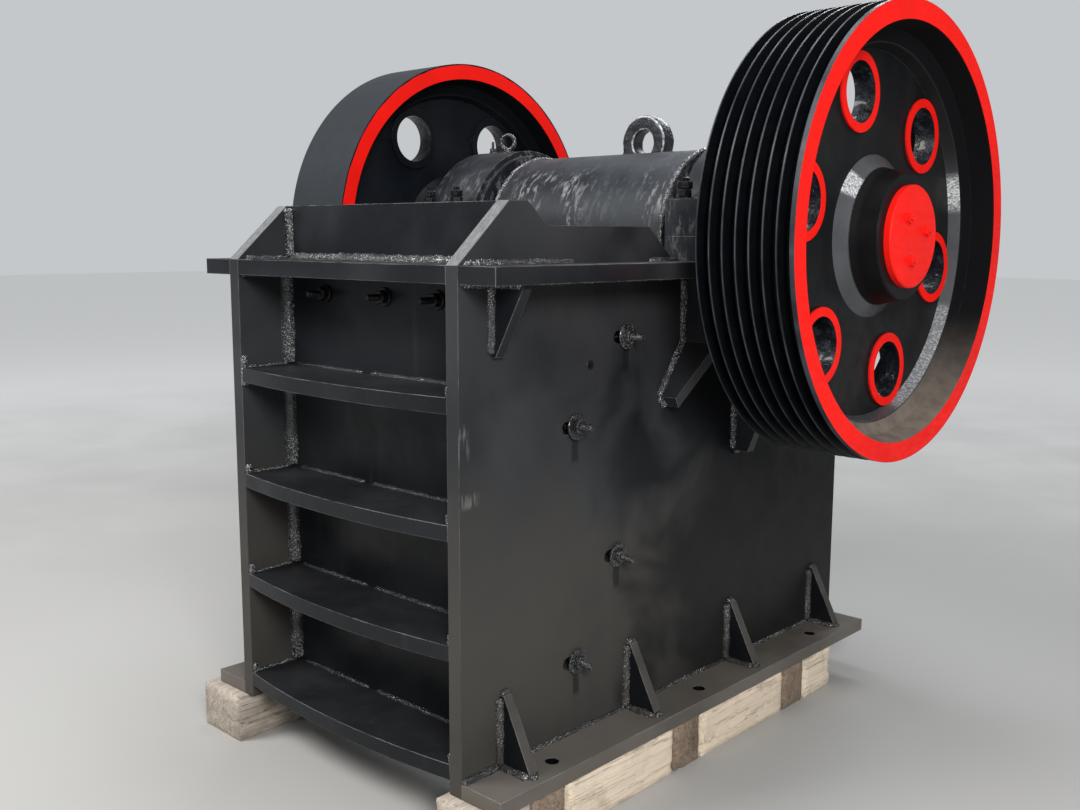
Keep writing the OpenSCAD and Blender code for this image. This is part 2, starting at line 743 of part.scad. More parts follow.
function coil_point(t, side, r, mean, span) = let(w = side * r * sqrt(max(0, 1 - t * t)), a = t * span)
  [(mean + w) * cos(a), (mean + w) * sin(a)];

module tension_spring() on_floor() color(bare_steel) {
  ring_t = 0.8 * spring_wire_d;
  body_h = spring_end_y - spring_start_y - 2 * ring_t;
  translate([0, spring_end_y - ring_t, rod_z]) rotate([90, 0, 0])
    linear_extrude(body_h, twist = -360 * spring_turns, slices = 20 * spring_turns, $fn = 16)
      polygon(coil_slice(body_h / spring_turns, 8));
  for (y = [spring_start_y, spring_end_y - ring_t - eps]) difference() {
    y_cylinder(y, y + ring_t + eps, spring_d);
    y_cylinder(y - eps, y + ring_t + 2 * eps, spring_d - 2 * spring_wire_d);
  }
}

// Timbers under the frame

module timber_row() {
  joints = [for (i = [0 : 2]) first_block_y + i * block_pitch];
  x0 = timber_x;
  x1 = timber_x + timber_w;
  box(x0, x1, -timber_front, joints[0] - timber_gap, -timber_h, 0);
  for (i = [0 : 2]) box(x0, x1, joints[i], joints[i] + short_block, -timber_h, 0);
  for (i = [0 : 1])
    box(x0, x1, joints[i] + short_block + timber_gap, joints[i + 1] - timber_gap, -timber_h, 0);
  box(x0, x1, joints[2] + short_block + timber_gap, timber_end, -timber_h, 0);
}

module timbers_left() on_floor() color(wood) translate([-left_row_out, 0, 0]) on_left() timber_row();
module timbers_right() on_floor() color(wood) timber_row();

// Eccentric shaft and wheels

module eccentric_shaft() on_floor() color(bare_steel) {
  x_cylinder(-hub_end, hub_end, hub_bore_d / 2, shaft_y, shaft_z);
  x_cylinder(-hub_start, hub_start, journal_d / 2, shaft_y, shaft_z);
  x_cylinder(-barrel_half, barrel_half, eccentric_d / 2, shaft_y, ecc_z);
}

// The rim's outer surface with its belt grooves, from the outer face to the inner, as (radius, x) points
function groove_points() = [for (i = [groove_count - 1 : -1 : 0])
  let(c = rim_in + groove_edge + i * groove_pitch, r0 = wheel_r, r1 = wheel_r - groove_depth)
  each [[r0, c + groove_top_w / 2], [r1, c + groove_bottom_w / 2],
        [r1, c - groove_bottom_w / 2], [r0, c - groove_top_w / 2]]];

// Half section of a wheel as (radius, x) points; the outer side is towards +x
function wheel_section(rim_points) = let(
    bore_r = hub_bore_d / 2 + fit_gap,
    cone = 0.22 * web_recess,
    rim_r = wheel_r - rim_t)
  concat(
    [[bore_r, hub_end], [hub_r - 4, hub_end], [hub_r, hub_end - 4], [hub_r + 0.7 * cone, web_out + cone],
     [hub_r + 2 * cone, web_out], [rim_root_r - 5, web_out], [rim_root_r + 6, web_out + 1.2 * cone],
     [rim_r - 14, web_out + 2 * cone], [rim_r, rim_out], [wheel_r, rim_out]],
    rim_points,
    [[wheel_r, rim_in], [rim_r, rim_in], [rim_r - 14, web_in - 2 * cone],
     [rim_root_r + 6, web_in - 1.2 * cone], [rim_root_r - 5, web_in],
     [hub_r + 2 * cone, web_in], [hub_r + 0.7 * cone, web_in - cone],
     [hub_r, hub_start], [bore_r, hub_start]]);

module at_hole(i, turn) {
  a = turn - 60 * i;
  translate([0, shaft_y + hole_circle_r * cos(a), shaft_z + hole_circle_r * sin(a)]) children();
}

module wheel(rim_points, turn) difference() {
  union() {
    about_shaft(shaft_y, shaft_z) polygon(wheel_section(rim_points));
    for (i = [0 : 5]) at_hole(i, turn)
      x_cylinder(web_in - hole_ring_h, web_out + hole_ring_h, hole_r + hole_ring_w, 0, 0);
  }
  for (i = [0 : 5]) at_hole(i, turn) x_cylinder(rim_in, rim_out, hole_r, 0, 0);
}

module drive_wheel() on_floor() color(paint) wheel(groove_points(), drive_hole_turn);
module flywheel() on_floor() color(paint) on_left() wheel([], fly_hole_turn);

module end_cover() about_shaft(shaft_y, shaft_z)
  polygon([[0, hub_end], [cover_r, hub_end], [cover_r, hub_end + cover_t - 4],
           [cover_r - 4, hub_end + cover_t], [0, hub_end + cover_t]]);

module end_cover_right() on_floor() color(red) end_cover();
module end_cover_left() on_floor() color(red) on_left() end_cover();

// Swing jaw

// Puts (x, y, z) on the swing jaw's sloping face: y = 0 is the face and z runs up along it
module on_swing_face() translate([0, slab_bottom_y, jaw_bottom_z]) rotate([-jaw_lean, 0, 0]) children();

function barrel_half_outline() = [
  [barrel_r, 0], [barrel_r, barrel_half - barrel_bevel], [barrel_r - barrel_bevel, barrel_half],
  [barrel_cover_r, barrel_half], [barrel_cover_r, barrel_half + 0.7 * barrel_cover_t],
  [barrel_cover_r - 0.3 * barrel_cover_t, barrel_half + barrel_cover_t],
  [0, barrel_half + barrel_cover_t], [0, 0]];

module lifting_eye() {
  eye_y = shaft_y + eye_back;
  eye_z = ecc_z + barrel_r + eye_rise;
  foot_z = ecc_z + 0.7 * barrel_r;
  k = eye_chamfer;
  translate([0, eye_y, eye_z]) rotate([90, 0, 0]) rotate_extrude($fn = 96) polygon([
    [eye_hole_r, k - eye_t / 2], [eye_hole_r + k, -eye_t / 2], [eye_r - k, -eye_t / 2], [eye_r, k - eye_t / 2],
    [eye_r, eye_t / 2 - k], [eye_r - k, eye_t / 2], [eye_hole_r + k, eye_t / 2], [eye_hole_r, eye_t / 2 - k]]);
  along_y(eye_y - eye_t / 2, eye_y + eye_t / 2) difference() {
    polygon([[-1.25 * eye_r, foot_z], [1.25 * eye_r, foot_z], [0.95 * eye_r, eye_z - 0.3 * eye_r],
             [-0.95 * eye_r, eye_z - 0.3 * eye_r]]);
    translate([0, eye_z]) circle(r = (eye_r + eye_hole_r) / 2);
  }
}

module swing_jaw() on_floor() color(cast) difference() {
  foot_drop = 0.7 * slab_t;
  union() {
    for (side = [0, 1]) mirror([side, 0, 0]) about_shaft(shaft_y, ecc_z) polygon(barrel_half_outline());
    along_x(-barrel_half, barrel_half) polygon([
      [slab_bottom_y, jaw_bottom_z - foot_drop], [slab_bottom_y + slab_run / 2, jaw_bottom_z - slab_t],
      [slab_bottom_y + slab_run, jaw_bottom_z - foot_drop],
      [slab_y(jaw_top_z - slab_t) + slab_run, jaw_top_z - slab_t],
      [shaft_y - barrel_r / 3, jaw_top_z], [slab_y(jaw_top_z), jaw_top_z], [slab_bottom_y, jaw_bottom_z]]);
    on_swing_face() along_x(-jaw_w / 2, jaw_w / 2)
      polygon([[slab_t / 2, -foot_drop], [-0.8 * jaw_t, -0.7 * foot_drop],
               [-0.8 * jaw_t, -seat_gap], [slab_t / 2, -seat_gap]]);
    for (x = [-barrel_half, -web_rib_t / 2, barrel_half - web_rib_t]) along_x(x, x + web_rib_t) polygon([
      [slab_bottom_y + 0.3 * slab_t, jaw_bottom_z - foot_drop], [seat_back_y, seat_z - 1.4 * seat_half_h],
      [seat_back_y, seat_z + 1.5 * seat_half_h], [seat_back_y + seat_depth, seat_z + 4 * seat_half_h],
      [shaft_y + 0.6 * barrel_r, ecc_z - 0.8 * barrel_r], [shaft_y, ecc_z],
      [slab_y(jaw_top_z - slab_t) + 0.3 * slab_t, jaw_top_z - slab_t]]);
    along_x(-barrel_half, barrel_half) polygon([
      [slab_y(seat_z) + 0.3 * slab_t, seat_z - 1.4 * seat_half_h],
      [seat_back_y, seat_z - 1.4 * seat_half_h], [seat_back_y, seat_z + 1.5 * seat_half_h],
      [slab_y(seat_z) + 0.8 * slab_t, seat_z + 1.5 * seat_half_h]]);
    cross_z = (jaw_bottom_z + jaw_top_z) / 2;
    along_x(-barrel_half, barrel_half) polygon([
      [slab_y(cross_z) + 0.5 * slab_t, cross_z],
      [slab_y(cross_z) + slab_run + seat_reach, cross_z + cross_rib_t / 2],
      [slab_y(cross_z) + slab_run + seat_reach, cross_z + 1.5 * cross_rib_t],
      [slab_y(cross_z) + 0.5 * slab_t, cross_z + 1.8 * cross_rib_t]]);
    along_x(-lug_t / 2, lug_t / 2) {
      translate([pin_y, rod_z - throw]) circle(r = lug_r);
      polygon([[pin_y - 2 * lug_r, seat_z - seat_half_h], [pin_y - 0.9 * lug_r, rod_z - throw - 0.4 * lug_r],
               [pin_y, rod_z - throw - lug_r], [pin_y + lug_r, rod_z - throw],
               [seat_back_y, seat_z - 1.3 * seat_half_h], [seat_back_y, seat_z - seat_half_h]]);
    }
    lifting_eye();
  }
  x_cylinder(-rim_in, rim_in, eccentric_d / 2 + fit_gap, shaft_y, ecc_z);
  x_cylinder(-lug_t, lug_t, pin_d / 2 + throw + toggle_open, pin_y, rod_z - throw);
}

module moving_jaw_plate() on_floor() color(bare_steel)
  on_swing_face() translate([0, -seat_gap, 0]) mirror([0, 1, 0]) toothed_plate(swing_plate_h);

module jaw_wedge() on_floor() color(bare_steel)
  on_swing_face() translate([0, -seat_gap, seat_gap]) along_x(-jaw_w / 2, jaw_w / 2)
    polygon([[0, swing_plate_h], [0, swing_plate_h + wedge_h], [-jaw_t / 2, swing_plate_h + wedge_h],
             [-jaw_t, swing_plate_h + wedge_h / 3], [-jaw_t, swing_plate_h]]);

side_plate_left();
side_plate_right();
front_wall();
feed_lip();
front_rib_1();
front_rib_2();
front_rib_3();
front_rib_bottom();
top_flange_front();
top_flange_left();
top_flange_right();
base_flange_left();
base_flange_right();
base_gussets_left();
base_gussets_right();
support_ribs_left();
support_ribs_right();
bearing_housing_left();
bearing_housing_right();
bearing_cap_left();
bearing_cap_right();
rear_wall();
rear_ribs();
jaw_support_bar();
fixed_jaw_plate();
cheek_plates_left();
cheek_plates_right();
block_rails();
adjusting_block();
shim_pack();
rear_toggle_seat();
toggle_plate();
tension_rod();
tension_spring();
timbers_left();
timbers_right();
eccentric_shaft();
drive_wheel();
flywheel();
end_cover_right();
end_cover_left();
swing_jaw();
moving_jaw_plate();
jaw_wedge();
front_toggle_seat();
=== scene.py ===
"""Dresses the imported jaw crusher: paint, cast iron, steel and timber finishes, weld beads, bolts and studs,
rough castings and weathered sleepers, on a plain pale floor under soft studio light.

Sizes are millimetres in the machine's own coordinates: x across the feed mouth with the drive wheel at +x,
y from the side plates' front edges to the rear, z up from the frame's underside. Machine.point() turns them
into the frame's metres.
"""

from __future__ import annotations

import json
import logging
import math
import sys
from dataclasses import dataclass, field
from enum import Enum
from functools import partial, reduce
from typing import Callable, Iterable, Sequence

import bmesh
import bpy
from mathutils import Matrix, Vector, noise

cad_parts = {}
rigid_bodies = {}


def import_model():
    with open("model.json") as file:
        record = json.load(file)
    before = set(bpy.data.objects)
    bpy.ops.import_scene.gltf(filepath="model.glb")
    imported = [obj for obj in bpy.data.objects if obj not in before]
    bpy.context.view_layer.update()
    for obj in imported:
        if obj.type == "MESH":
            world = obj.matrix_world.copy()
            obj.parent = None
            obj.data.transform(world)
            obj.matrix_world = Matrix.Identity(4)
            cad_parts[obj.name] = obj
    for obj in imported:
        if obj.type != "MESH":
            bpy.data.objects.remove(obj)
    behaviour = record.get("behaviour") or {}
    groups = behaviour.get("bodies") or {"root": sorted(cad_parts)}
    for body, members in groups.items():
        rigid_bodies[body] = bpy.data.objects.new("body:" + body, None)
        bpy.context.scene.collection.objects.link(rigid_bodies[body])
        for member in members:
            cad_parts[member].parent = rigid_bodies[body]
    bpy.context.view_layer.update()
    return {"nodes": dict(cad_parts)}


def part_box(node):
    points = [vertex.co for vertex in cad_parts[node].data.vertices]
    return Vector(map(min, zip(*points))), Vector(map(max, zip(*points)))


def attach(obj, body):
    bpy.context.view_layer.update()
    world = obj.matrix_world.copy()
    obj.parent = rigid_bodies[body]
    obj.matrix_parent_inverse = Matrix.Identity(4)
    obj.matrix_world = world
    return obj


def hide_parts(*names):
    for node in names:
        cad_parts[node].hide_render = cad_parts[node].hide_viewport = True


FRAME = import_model()

LOG = logging.getLogger("jaw_crusher")
MM = 0.001

Socket = bpy.types.NodeSocket
Sockets = bpy.types.bpy_prop_collection
Material = bpy.types.Material
Mesh = bpy.types.Mesh
BMesh = bmesh.types.BMesh
Pair = tuple[float, float]
Rgb = tuple[float, float, float]
Point = tuple[float, float, float]


class Body(Enum):
    """The bodies that pieces ride on."""

    FRAME = "frame"
    ROTOR = "rotor"
    SWING = "swing_jaw_body"


class Side(Enum):
    """The two sides of the machine, with the sign of their x."""

    RIGHT = 1
    LEFT = -1

    @property
    def word(self) -> str:
        """The side's name as it stands in node names."""
        return self.name.lower()

    @property
    def facing(self) -> "Facing":
        """The way that things on this side point outward."""
        return Facing.RIGHT if self is Side.RIGHT else Facing.LEFT


class Facing(Enum):
    """The way a fastener points, as the Euler turn that takes +z there."""

    UP = (0.0, 0.0, 0.0)
    RIGHT = (0.0, math.pi / 2, 0.0)
    LEFT = (0.0, -math.pi / 2, 0.0)
    FRONT = (math.pi / 2, 0.0, 0.0)
    REAR = (-math.pi / 2, 0.0, 0.0)


class TimberKind(Enum):
    """How a sleeper lies: its grain along the row, or across it with its end grain showing."""

    LONG = "long"
    SHORT = "short"


# Node trees


class Board:
    """A drawing board for one node tree: places nodes, sets their inputs and joins them."""

    def __init__(self, tree: bpy.types.NodeTree) -> None:
        """Takes the tree to draw on.

        Args:
            tree: A shader or geometry node tree.
        """
        self.tree = tree

    def add(self, kind: str, inputs: dict | None = None, **settings: object) -> bpy.types.Node:
        """Places a node.

        Args:
            kind: The node's type name.
            inputs: Values or sockets by the input's identifier, name or number.
            **settings: The node's own properties.

        Returns:
            The new node.
        """
        node = self.tree.nodes.new(kind)
        for name, value in settings.items():
            setattr(node, name, value)
        for key, value in (inputs or {}).items():
            self.feed(self.socket(node, key), value)
        return node

    @staticmethod
    def socket(node: bpy.types.Node, key: str | int) -> Socket:
        """Finds an input of a node by number, identifier or name."""
        if isinstance(key, int):
            return node.inputs[key]
        for socket in node.inputs:
            if socket.identifier == key:
                return socket
        return node.inputs[key]

    def feed(self, socket: Socket, value: object) -> None:
        """Links a socket to an input, or sets the input's own value."""
        if isinstance(value, Socket):
            self.tree.links.new(value, socket)
        else:
            socket.default_value = value

    def out(self, kind: str, inputs: dict | None = None, **settings: object) -> Socket:
        """Places a node as add() does, and returns its first output."""
        return self.add(kind, inputs, **settings).outputs[0]

    def math(self, operation: str, a: object, b: object = 0.0, clamp: bool = False) -> Socket:
        """Adds a Math node and returns its output."""
        return self.out("ShaderNodeMath", {0: a, 1: b}, operation=operation, use_clamp=clamp)

    def times(self, first: object, *others: object) -> Socket:
        """Multiplies values, one after the other."""
        return reduce(partial(self.math, "MULTIPLY"), others, first)

    def plus(self, first: object, *others: object) -> Socket:
        """Adds values, one after the other."""
        return reduce(partial(self.math, "ADD"), others, first)

    def less(self, a: object, b: object) -> Socket:
        """Takes b from a."""
        return self.math("SUBTRACT", a, b)

    def most(self, a: object, b: object) -> Socket:
        """The larger of two values."""
        return self.math("MAXIMUM", a, b)

    def gap(self, a: object, b: object) -> Socket:
        """How far apart two values are."""
        return self.math("ABSOLUTE", self.less(a, b))

    def reach(self, a: object, b: object) -> Socket:
        """How long a line is that goes a one way and b square to it."""
        return self.math("SQRT", self.plus(self.times(a, a), self.times(b, b)))

    def xyz(self, vector: Socket) -> Sockets:
        """The three parts of a vector, by the names X, Y and Z."""
        return self.add("ShaderNodeSeparateXYZ", {0: vector}).outputs

    def vector(self, operation: str, a: object, b: object = (0.0, 0.0, 0.0)) -> bpy.types.Node:
        """Adds a Vector Math node."""
        return self.add("ShaderNodeVectorMath", {0: a, 1: b}, operation=operation)

    def span(self, value: object, low: float, high: float, to: Pair = (0.0, 1.0),
             smooth: bool = True) -> Socket:
        """Maps a value from low..high to another range, held at its ends."""
        kind = "SMOOTHSTEP" if smooth else "LINEAR"
        inputs = {"Value": value, "From Min": low, "From Max": high, "To Min": to[0], "To Max": to[1]}
        return self.out("ShaderNodeMapRange", inputs, interpolation_type=kind)

    def mix(self, factor: object, a: Rgb | Socket, b: Rgb | Socket,
            blend: str = "MIX") -> Socket:
        """Mixes two colours."""
        node = self.add("ShaderNodeMix", {"Factor_Float": factor, "A_Color": rgba(a), "B_Color": rgba(b)},
                        data_type="RGBA", blend_type=blend)
        return node.outputs[2]

    def blend(self, factor: object, a: object, b: object) -> Socket:
        """Mixes two numbers."""
        return self.out("ShaderNodeMix", {"Factor_Float": factor, "A_Float": a, "B_Float": b},
                        data_type="FLOAT")


def rgba(colour: object) -> object:
    """Gives a colour its fourth number; a socket passes unchanged."""
    return (*colour, 1.0) if isinstance(colour, tuple) and len(colour) == 3 else colour


class Shade(Board):
    """A board for a material, with the textures that the finishes share."""

    def __init__(self, name: str) -> None:
        """Starts an empty material of that name."""
        self.material = bpy.data.materials.new(name)
        self.material.use_nodes = True
        super().__init__(self.material.node_tree)
        self.tree.nodes.clear()
        self.place = self.add("ShaderNodeTexCoord").outputs["Object"]
        self.surface = self.add("ShaderNodeNewGeometry")

    def grain(self, scale: float, detail: float = 2.0, stretch: Point = (1.0, 1.0, 1.0),
              offset: float = 0.0, rough: float = 0.5, warp: float = 0.0) -> Socket:
        """Noise on Object coordinates.

        Args:
            scale: Features per metre, about.
            detail: Octaves.
            stretch: Factors on the three coordinates.
            offset: Shifts the pattern, so that two finishes differ.
            rough: How strong the fine octaves are.
            warp: Distortion.

        Returns:
            The noise value, 0 to 1.
        """
        shift = (offset, offset * 0.7, -offset)
        spot = self.out("ShaderNodeMapping", {"Vector": self.place, "Location": shift, "Scale": stretch})
        return self.out("ShaderNodeTexNoise", {"Vector": spot, "Scale": scale, "Detail": detail,
                                               "Roughness": rough, "Distortion": warp})

    def bump(self, height: object, strength: float, depth: float,
             below: Socket | None = None) -> Socket:
        """A bump of that depth in metres, on top of another normal."""
        inputs = {"Height": height, "Strength": strength, "Distance": depth}
        if below is not None:
            inputs["Normal"] = below
        return self.out("ShaderNodeBump", inputs)

    def soft_edge(self, radius: float) -> Socket:
        """The normal of a surface whose edges are rounded by that radius in metres."""
        return self.out("ShaderNodeBevel", {"Radius": radius}, samples=4)

    def edge_mask(self, soft: Socket, low: float = 0.01, high: float = 0.16) -> Socket:
        """1 along sharp edges and 0 elsewhere, from the rounded normal."""
        along = self.vector("DOT_PRODUCT", soft, self.surface.outputs["True Normal"]).outputs["Value"]
        return self.span(self.less(1.0, along), low, high)

    def upward(self, low: float = 0.5, high: float = 0.95) -> Socket:
        """1 on surfaces that face up, where dust lies."""
        return self.span(self.xyz(self.surface.outputs["True Normal"])["Z"], low, high)

    def hole_shade_mask(self, holes: "HoleSpots") -> Socket:
        """1 inside upright round holes, and on what lies below them, for the painted shade there.

        Args:
            holes: Where the holes are.

        Returns:
            The mask.
        """
        parts = self.xyz(self.place)
        across = self.less(self.math("ABSOLUTE", parts["X"]), holes.out)
        mask: object = 0.0
        for y in holes.along:
            away = self.reach(across, self.less(parts["Y"], y))
            hole = self.span(away, holes.radius + holes.margin, holes.radius + holes.fade)
            mask = self.most(mask, hole)
        return self.times(mask, self.span(parts["Z"], holes.top, holes.top - holes.margin))

    def finish(self, colour: object, roughness: object, normal: Socket | None,
               **fixed: float) -> Material:
        """Ends the material in one principled shader.

        Args:
            colour: Base colour.
            roughness: Roughness.
            normal: Bumped normal, or None.
            **fixed: Other inputs by name, with spaces written as underscores.

        Returns:
            The material.
        """
        inputs = {"Base Color": rgba(colour), "Roughness": roughness}
        if normal is not None:
            inputs["Normal"] = normal
        inputs.update({key.replace("_", " "): value for key, value in fixed.items()})
        shader = self.add("ShaderNodeBsdfPrincipled", inputs)
        self.add("ShaderNodeOutputMaterial", {"Surface": shader.outputs[0]})
        return self.material


# Finishes


@dataclass(frozen=True)
class HoleSpots:
    """Upright round holes in both base flanges, in the frame's metres."""

    out: float
    along: tuple[float, ...]
    radius: float
    top: float
    margin: float = 0.0008
    fade: float = 0.0003


@dataclass(frozen=True)
class PlateMarks:
    """Marks on the side plates, in the frame's metres: dark streaks below the studs, scuffs, a painted sheen
    towards the front with painted shade to the rear, and warm painted bounce light low down.
    """

    plate_x: float
    studs: tuple[Pair, ...]
    streak_w: float
    streak_len: float
    scuffs: tuple[tuple[float, float, float, float], ...]
    sheen_y: Pair
    bounce_z: Pair
    film: Rgb = (0.060, 0.0615, 0.064)
    bounce_tint: Rgb = (0.068, 0.062, 0.054)


@dataclass(frozen=True)
class PlatePaint:
    """Semi-gloss near-black paint on rolled plate: broad cloudy painted sheen, brush lines, dust on level faces,
    edges lightened by wear and painted highlight.
    """

    name: str = "plate_paint"
    deep: Rgb = (0.0068, 0.0082, 0.0108)
    lit: Rgb = (0.025, 0.0275, 0.031)
    dust: Rgb = (0.105, 0.098, 0.090)
    edge: Rgb = (0.34, 0.35, 0.36)
    scuff: Rgb = (0.30, 0.30, 0.29)
    roughness: float = 0.34
    dust_amount: float = 0.12
    dust_slope: Pair = (0.5, 0.95)
    shine: float = 0.25
    marks: PlateMarks | None = None
    holes: HoleSpots | None = None

    def build(self) -> Material:
        """Builds the material."""
        s = Shade(self.name)
        cloud = s.grain(2.1, 3.0, offset=3.1, warp=0.3)
        mottle = s.grain(13.0, 4.0, offset=1.3, rough=0.6)
        streaks = s.grain(30.0, 3.0, stretch=(1.0, 1.0, 0.07), offset=5.2)
        peel = s.grain(420.0, 1.0)
        speckle = s.grain(95.0, 3.0, offset=8.0, rough=0.7)
        soft = s.soft_edge(0.0035)
        edges = s.times(s.edge_mask(soft), s.span(mottle, 0.34, 0.60, (0.15, 1.0)))
        # painted sheen: the colour clouds between deep and lit, standing in for broad soft reflections
        base = s.mix(s.span(cloud, 0.32, 0.68), self.deep, self.lit)
        base = s.mix(s.times(s.span(speckle, 0.60, 0.8), 0.16), base, self.dust)
        fall = s.times(s.upward(*self.dust_slope), s.span(mottle, 0.15, 0.85, (0.6, 1.0)))
        base = s.mix(s.times(fall, self.dust_amount), base, self.dust)
        wiped = s.times(s.span(streaks, 0.62, 0.8), 0.08)
        base = s.mix(wiped, base, self.dust)
        # edge wear and painted highlight: sharp edges lightened towards the edge colour
        base = s.mix(s.times(edges, 0.7), base, self.edge)
        rough = s.plus(self.roughness, s.span(mottle, 0.3, 0.75, (-0.06, 0.12), smooth=False))
        rough = s.plus(rough, s.span(cloud, 0.35, 0.65, (-0.05, 0.07)))
        rough = s.math("ADD", rough, s.times(fall, 0.15), clamp=True)
        if self.marks is not None:
            base, rough = self.marked(s, base, rough)
        if self.holes is not None:
            # painted shade: the anchor holes darkened almost black
            base = s.mix(s.hole_shade_mask(self.holes), base, (0.003, 0.003, 0.003))
        normal = s.bump(peel, 0.12, 0.0006, soft)
        normal = s.bump(streaks, 0.10, 0.0016, normal)
        normal = s.bump(cloud, 0.30, 0.02, normal)
        return s.finish(base, rough, normal, Specular_IOR_Level=self.shine)

    def marked(self, s: Shade, base: Socket,
               rough: Socket) -> tuple[Socket, Socket]:
        """Adds the side plates' marks to the paint, with their painted sheen, shade, highlight and bounce light.

        Args:
            s: The material's board.
            base: The colour so far.
            rough: The roughness so far.

        Returns:
            The marked colour and roughness.
        """
        marks = self.marks
        parts = s.xyz(s.place)
        outside = s.span(s.math("ABSOLUTE", parts["X"]), marks.plate_x - 0.002, marks.plate_x - 0.001)
        patchy = s.grain(3.2, 3.0, offset=21.0, warp=0.5)
        front = s.span(s.plus(parts["Y"], s.span(patchy, 0.3, 0.7, (-0.22, 0.22))), *marks.sheen_y)
        front = s.times(front, s.span(patchy, 0.25, 0.7, (0.55, 1.0)))
        # painted shade: the rear of the plate darkened, as under the wheel and its housing
        base = s.mix(s.span(front, 0.0, 0.8, (0.75, 0.0)), base, (0.0035, 0.0042, 0.0055))
        # painted sheen: the front of the plate lightened, as by a broad reflection
        base = s.mix(s.times(front, 0.55), base, marks.film)
        # painted highlight: slanted faces lightened in a fine hatch, as by reflected sky light
        rise = s.xyz(s.surface.outputs["True Normal"])["Z"]
        slant = s.times(s.span(rise, 0.60, 0.66), s.span(rise, 0.86, 0.80))
        highlight_hatch = s.grain(150.0, 4.0, stretch=(1.0, 0.30, 0.30), offset=17.0, rough=0.70)
        base = s.mix(s.times(slant, s.span(highlight_hatch, 0.25, 0.75, (0.35, 0.95))), base, (0.24, 0.245, 0.25))
        # painted bounce light: a warm tint low on the plate, strongest towards the front
        low = s.span(s.plus(parts["Z"], s.span(patchy, 0.3, 0.7, (-0.12, 0.12))), *marks.bounce_z)
        base = s.mix(s.times(low, s.span(front, 0.0, 1.0, (0.18, 0.75))), base, marks.bounce_tint)
        blur = s.span(s.grain(30.0, 3.0, offset=2.0), 0.2, 0.8, (-0.003, 0.003))
        # a darker streak running down below each stud
        stud_streak: object = 0.0
        for y, z in marks.studs:
            side = s.math("ABSOLUTE", s.plus(s.less(parts["Y"], y), blur))
            down = s.less(z, parts["Z"])
            run = s.times(s.span(side, marks.streak_w, marks.streak_w * 0.6),
                         s.span(down, marks.streak_len, marks.streak_len * 0.8))
            stud_streak = s.most(stud_streak, s.times(run, s.span(down, 0.0, 0.01)))
        base = s.mix(s.times(stud_streak, outside, 0.62), base, (0.007, 0.0075, 0.009))
        scuff: object = 0.0
        thin = s.grain(150.0, 3.0, stretch=(1.0, 1.0, 0.10), offset=12.0, rough=0.6)
        for y, z, half_y, half_z in marks.scuffs:
            along = s.span(s.gap(parts["Y"], y), half_y, half_y * 0.3)
            band = s.span(s.gap(parts["Z"], z), half_z, half_z * 0.3)
            scuff = s.most(scuff, s.times(band, along))
        scuff = s.times(scuff, s.span(thin, 0.45, 0.62), outside)
        base = s.mix(s.times(scuff, 0.32), base, self.scuff)
        return base, rough


@dataclass(frozen=True)
class BeadPaint:
    """Thick gloss paint over a lumpy weld or an unmachined surface: dark, with sharp small glints painted into
    its colour.
    """

    name: str = "bead_paint"
    deep: Rgb = (0.009, 0.010, 0.013)
    lit: Rgb = (0.060, 0.063, 0.070)
    glint: Rgb = (0.84, 0.86, 0.88)
    glints: float = 0.88
    roughness: float = 0.15
    lump_scale: float = 190.0
    depth: float = 0.0050
    rare: float = 0.585
    rim: float = 0.0
    gloss: float = 1.0

    def build(self) -> Material:
        """Builds the material."""
        s = Shade(self.name)
        lumps = s.grain(self.lump_scale, 4.0, rough=0.65)
        fine = s.grain(self.lump_scale * 2.9, 3.0, offset=2.0, rough=0.6)
        spots = s.grain(self.lump_scale * 1.7, 2.0, offset=4.0, rough=0.6)
        region = s.span(s.grain(8.0, 3.0, offset=9.0), 0.36, 0.54)
        patch = s.times(s.span(lumps, 0.45, 0.75), s.span(region, 0.0, 1.0, (0.35, 1.0)))
        base = s.mix(patch, self.deep, self.lit)
        bright = s.times(s.span(spots, self.rare, self.rare + 0.05), s.span(region, 0.0, 1.0, (0.20, 1.0)))
        # painted highlight: pale lines where the surface turns from front to side, as on the lifting eye's rims
        if self.rim > 0.0:
            along = s.math("ABSOLUTE", s.xyz(s.surface.outputs["Normal"])["Y"])
            worn = s.times(s.span(along, 0.42, 0.62), s.span(along, 0.95, 0.80))
            worn = s.times(worn, s.span(lumps, 0.40, 0.60, (0.15, 1.0)))
            base = s.mix(s.times(worn, self.rim), base, self.glint)
        # painted glints: sparse bright spots in the colour
        base = s.mix(s.times(bright, self.glints), base, self.glint)
        rough = s.span(fine, 0.3, 0.7, (self.roughness - 0.06, self.roughness + 0.2))
        normal = s.bump(lumps, 1.0, self.depth)
        normal = s.bump(fine, 0.6, 0.0016, normal)
        return s.finish(base, rough, normal, Specular_IOR_Level=0.8 * self.gloss,
                        Coat_Weight=0.6 * self.gloss, Coat_Roughness=0.08)


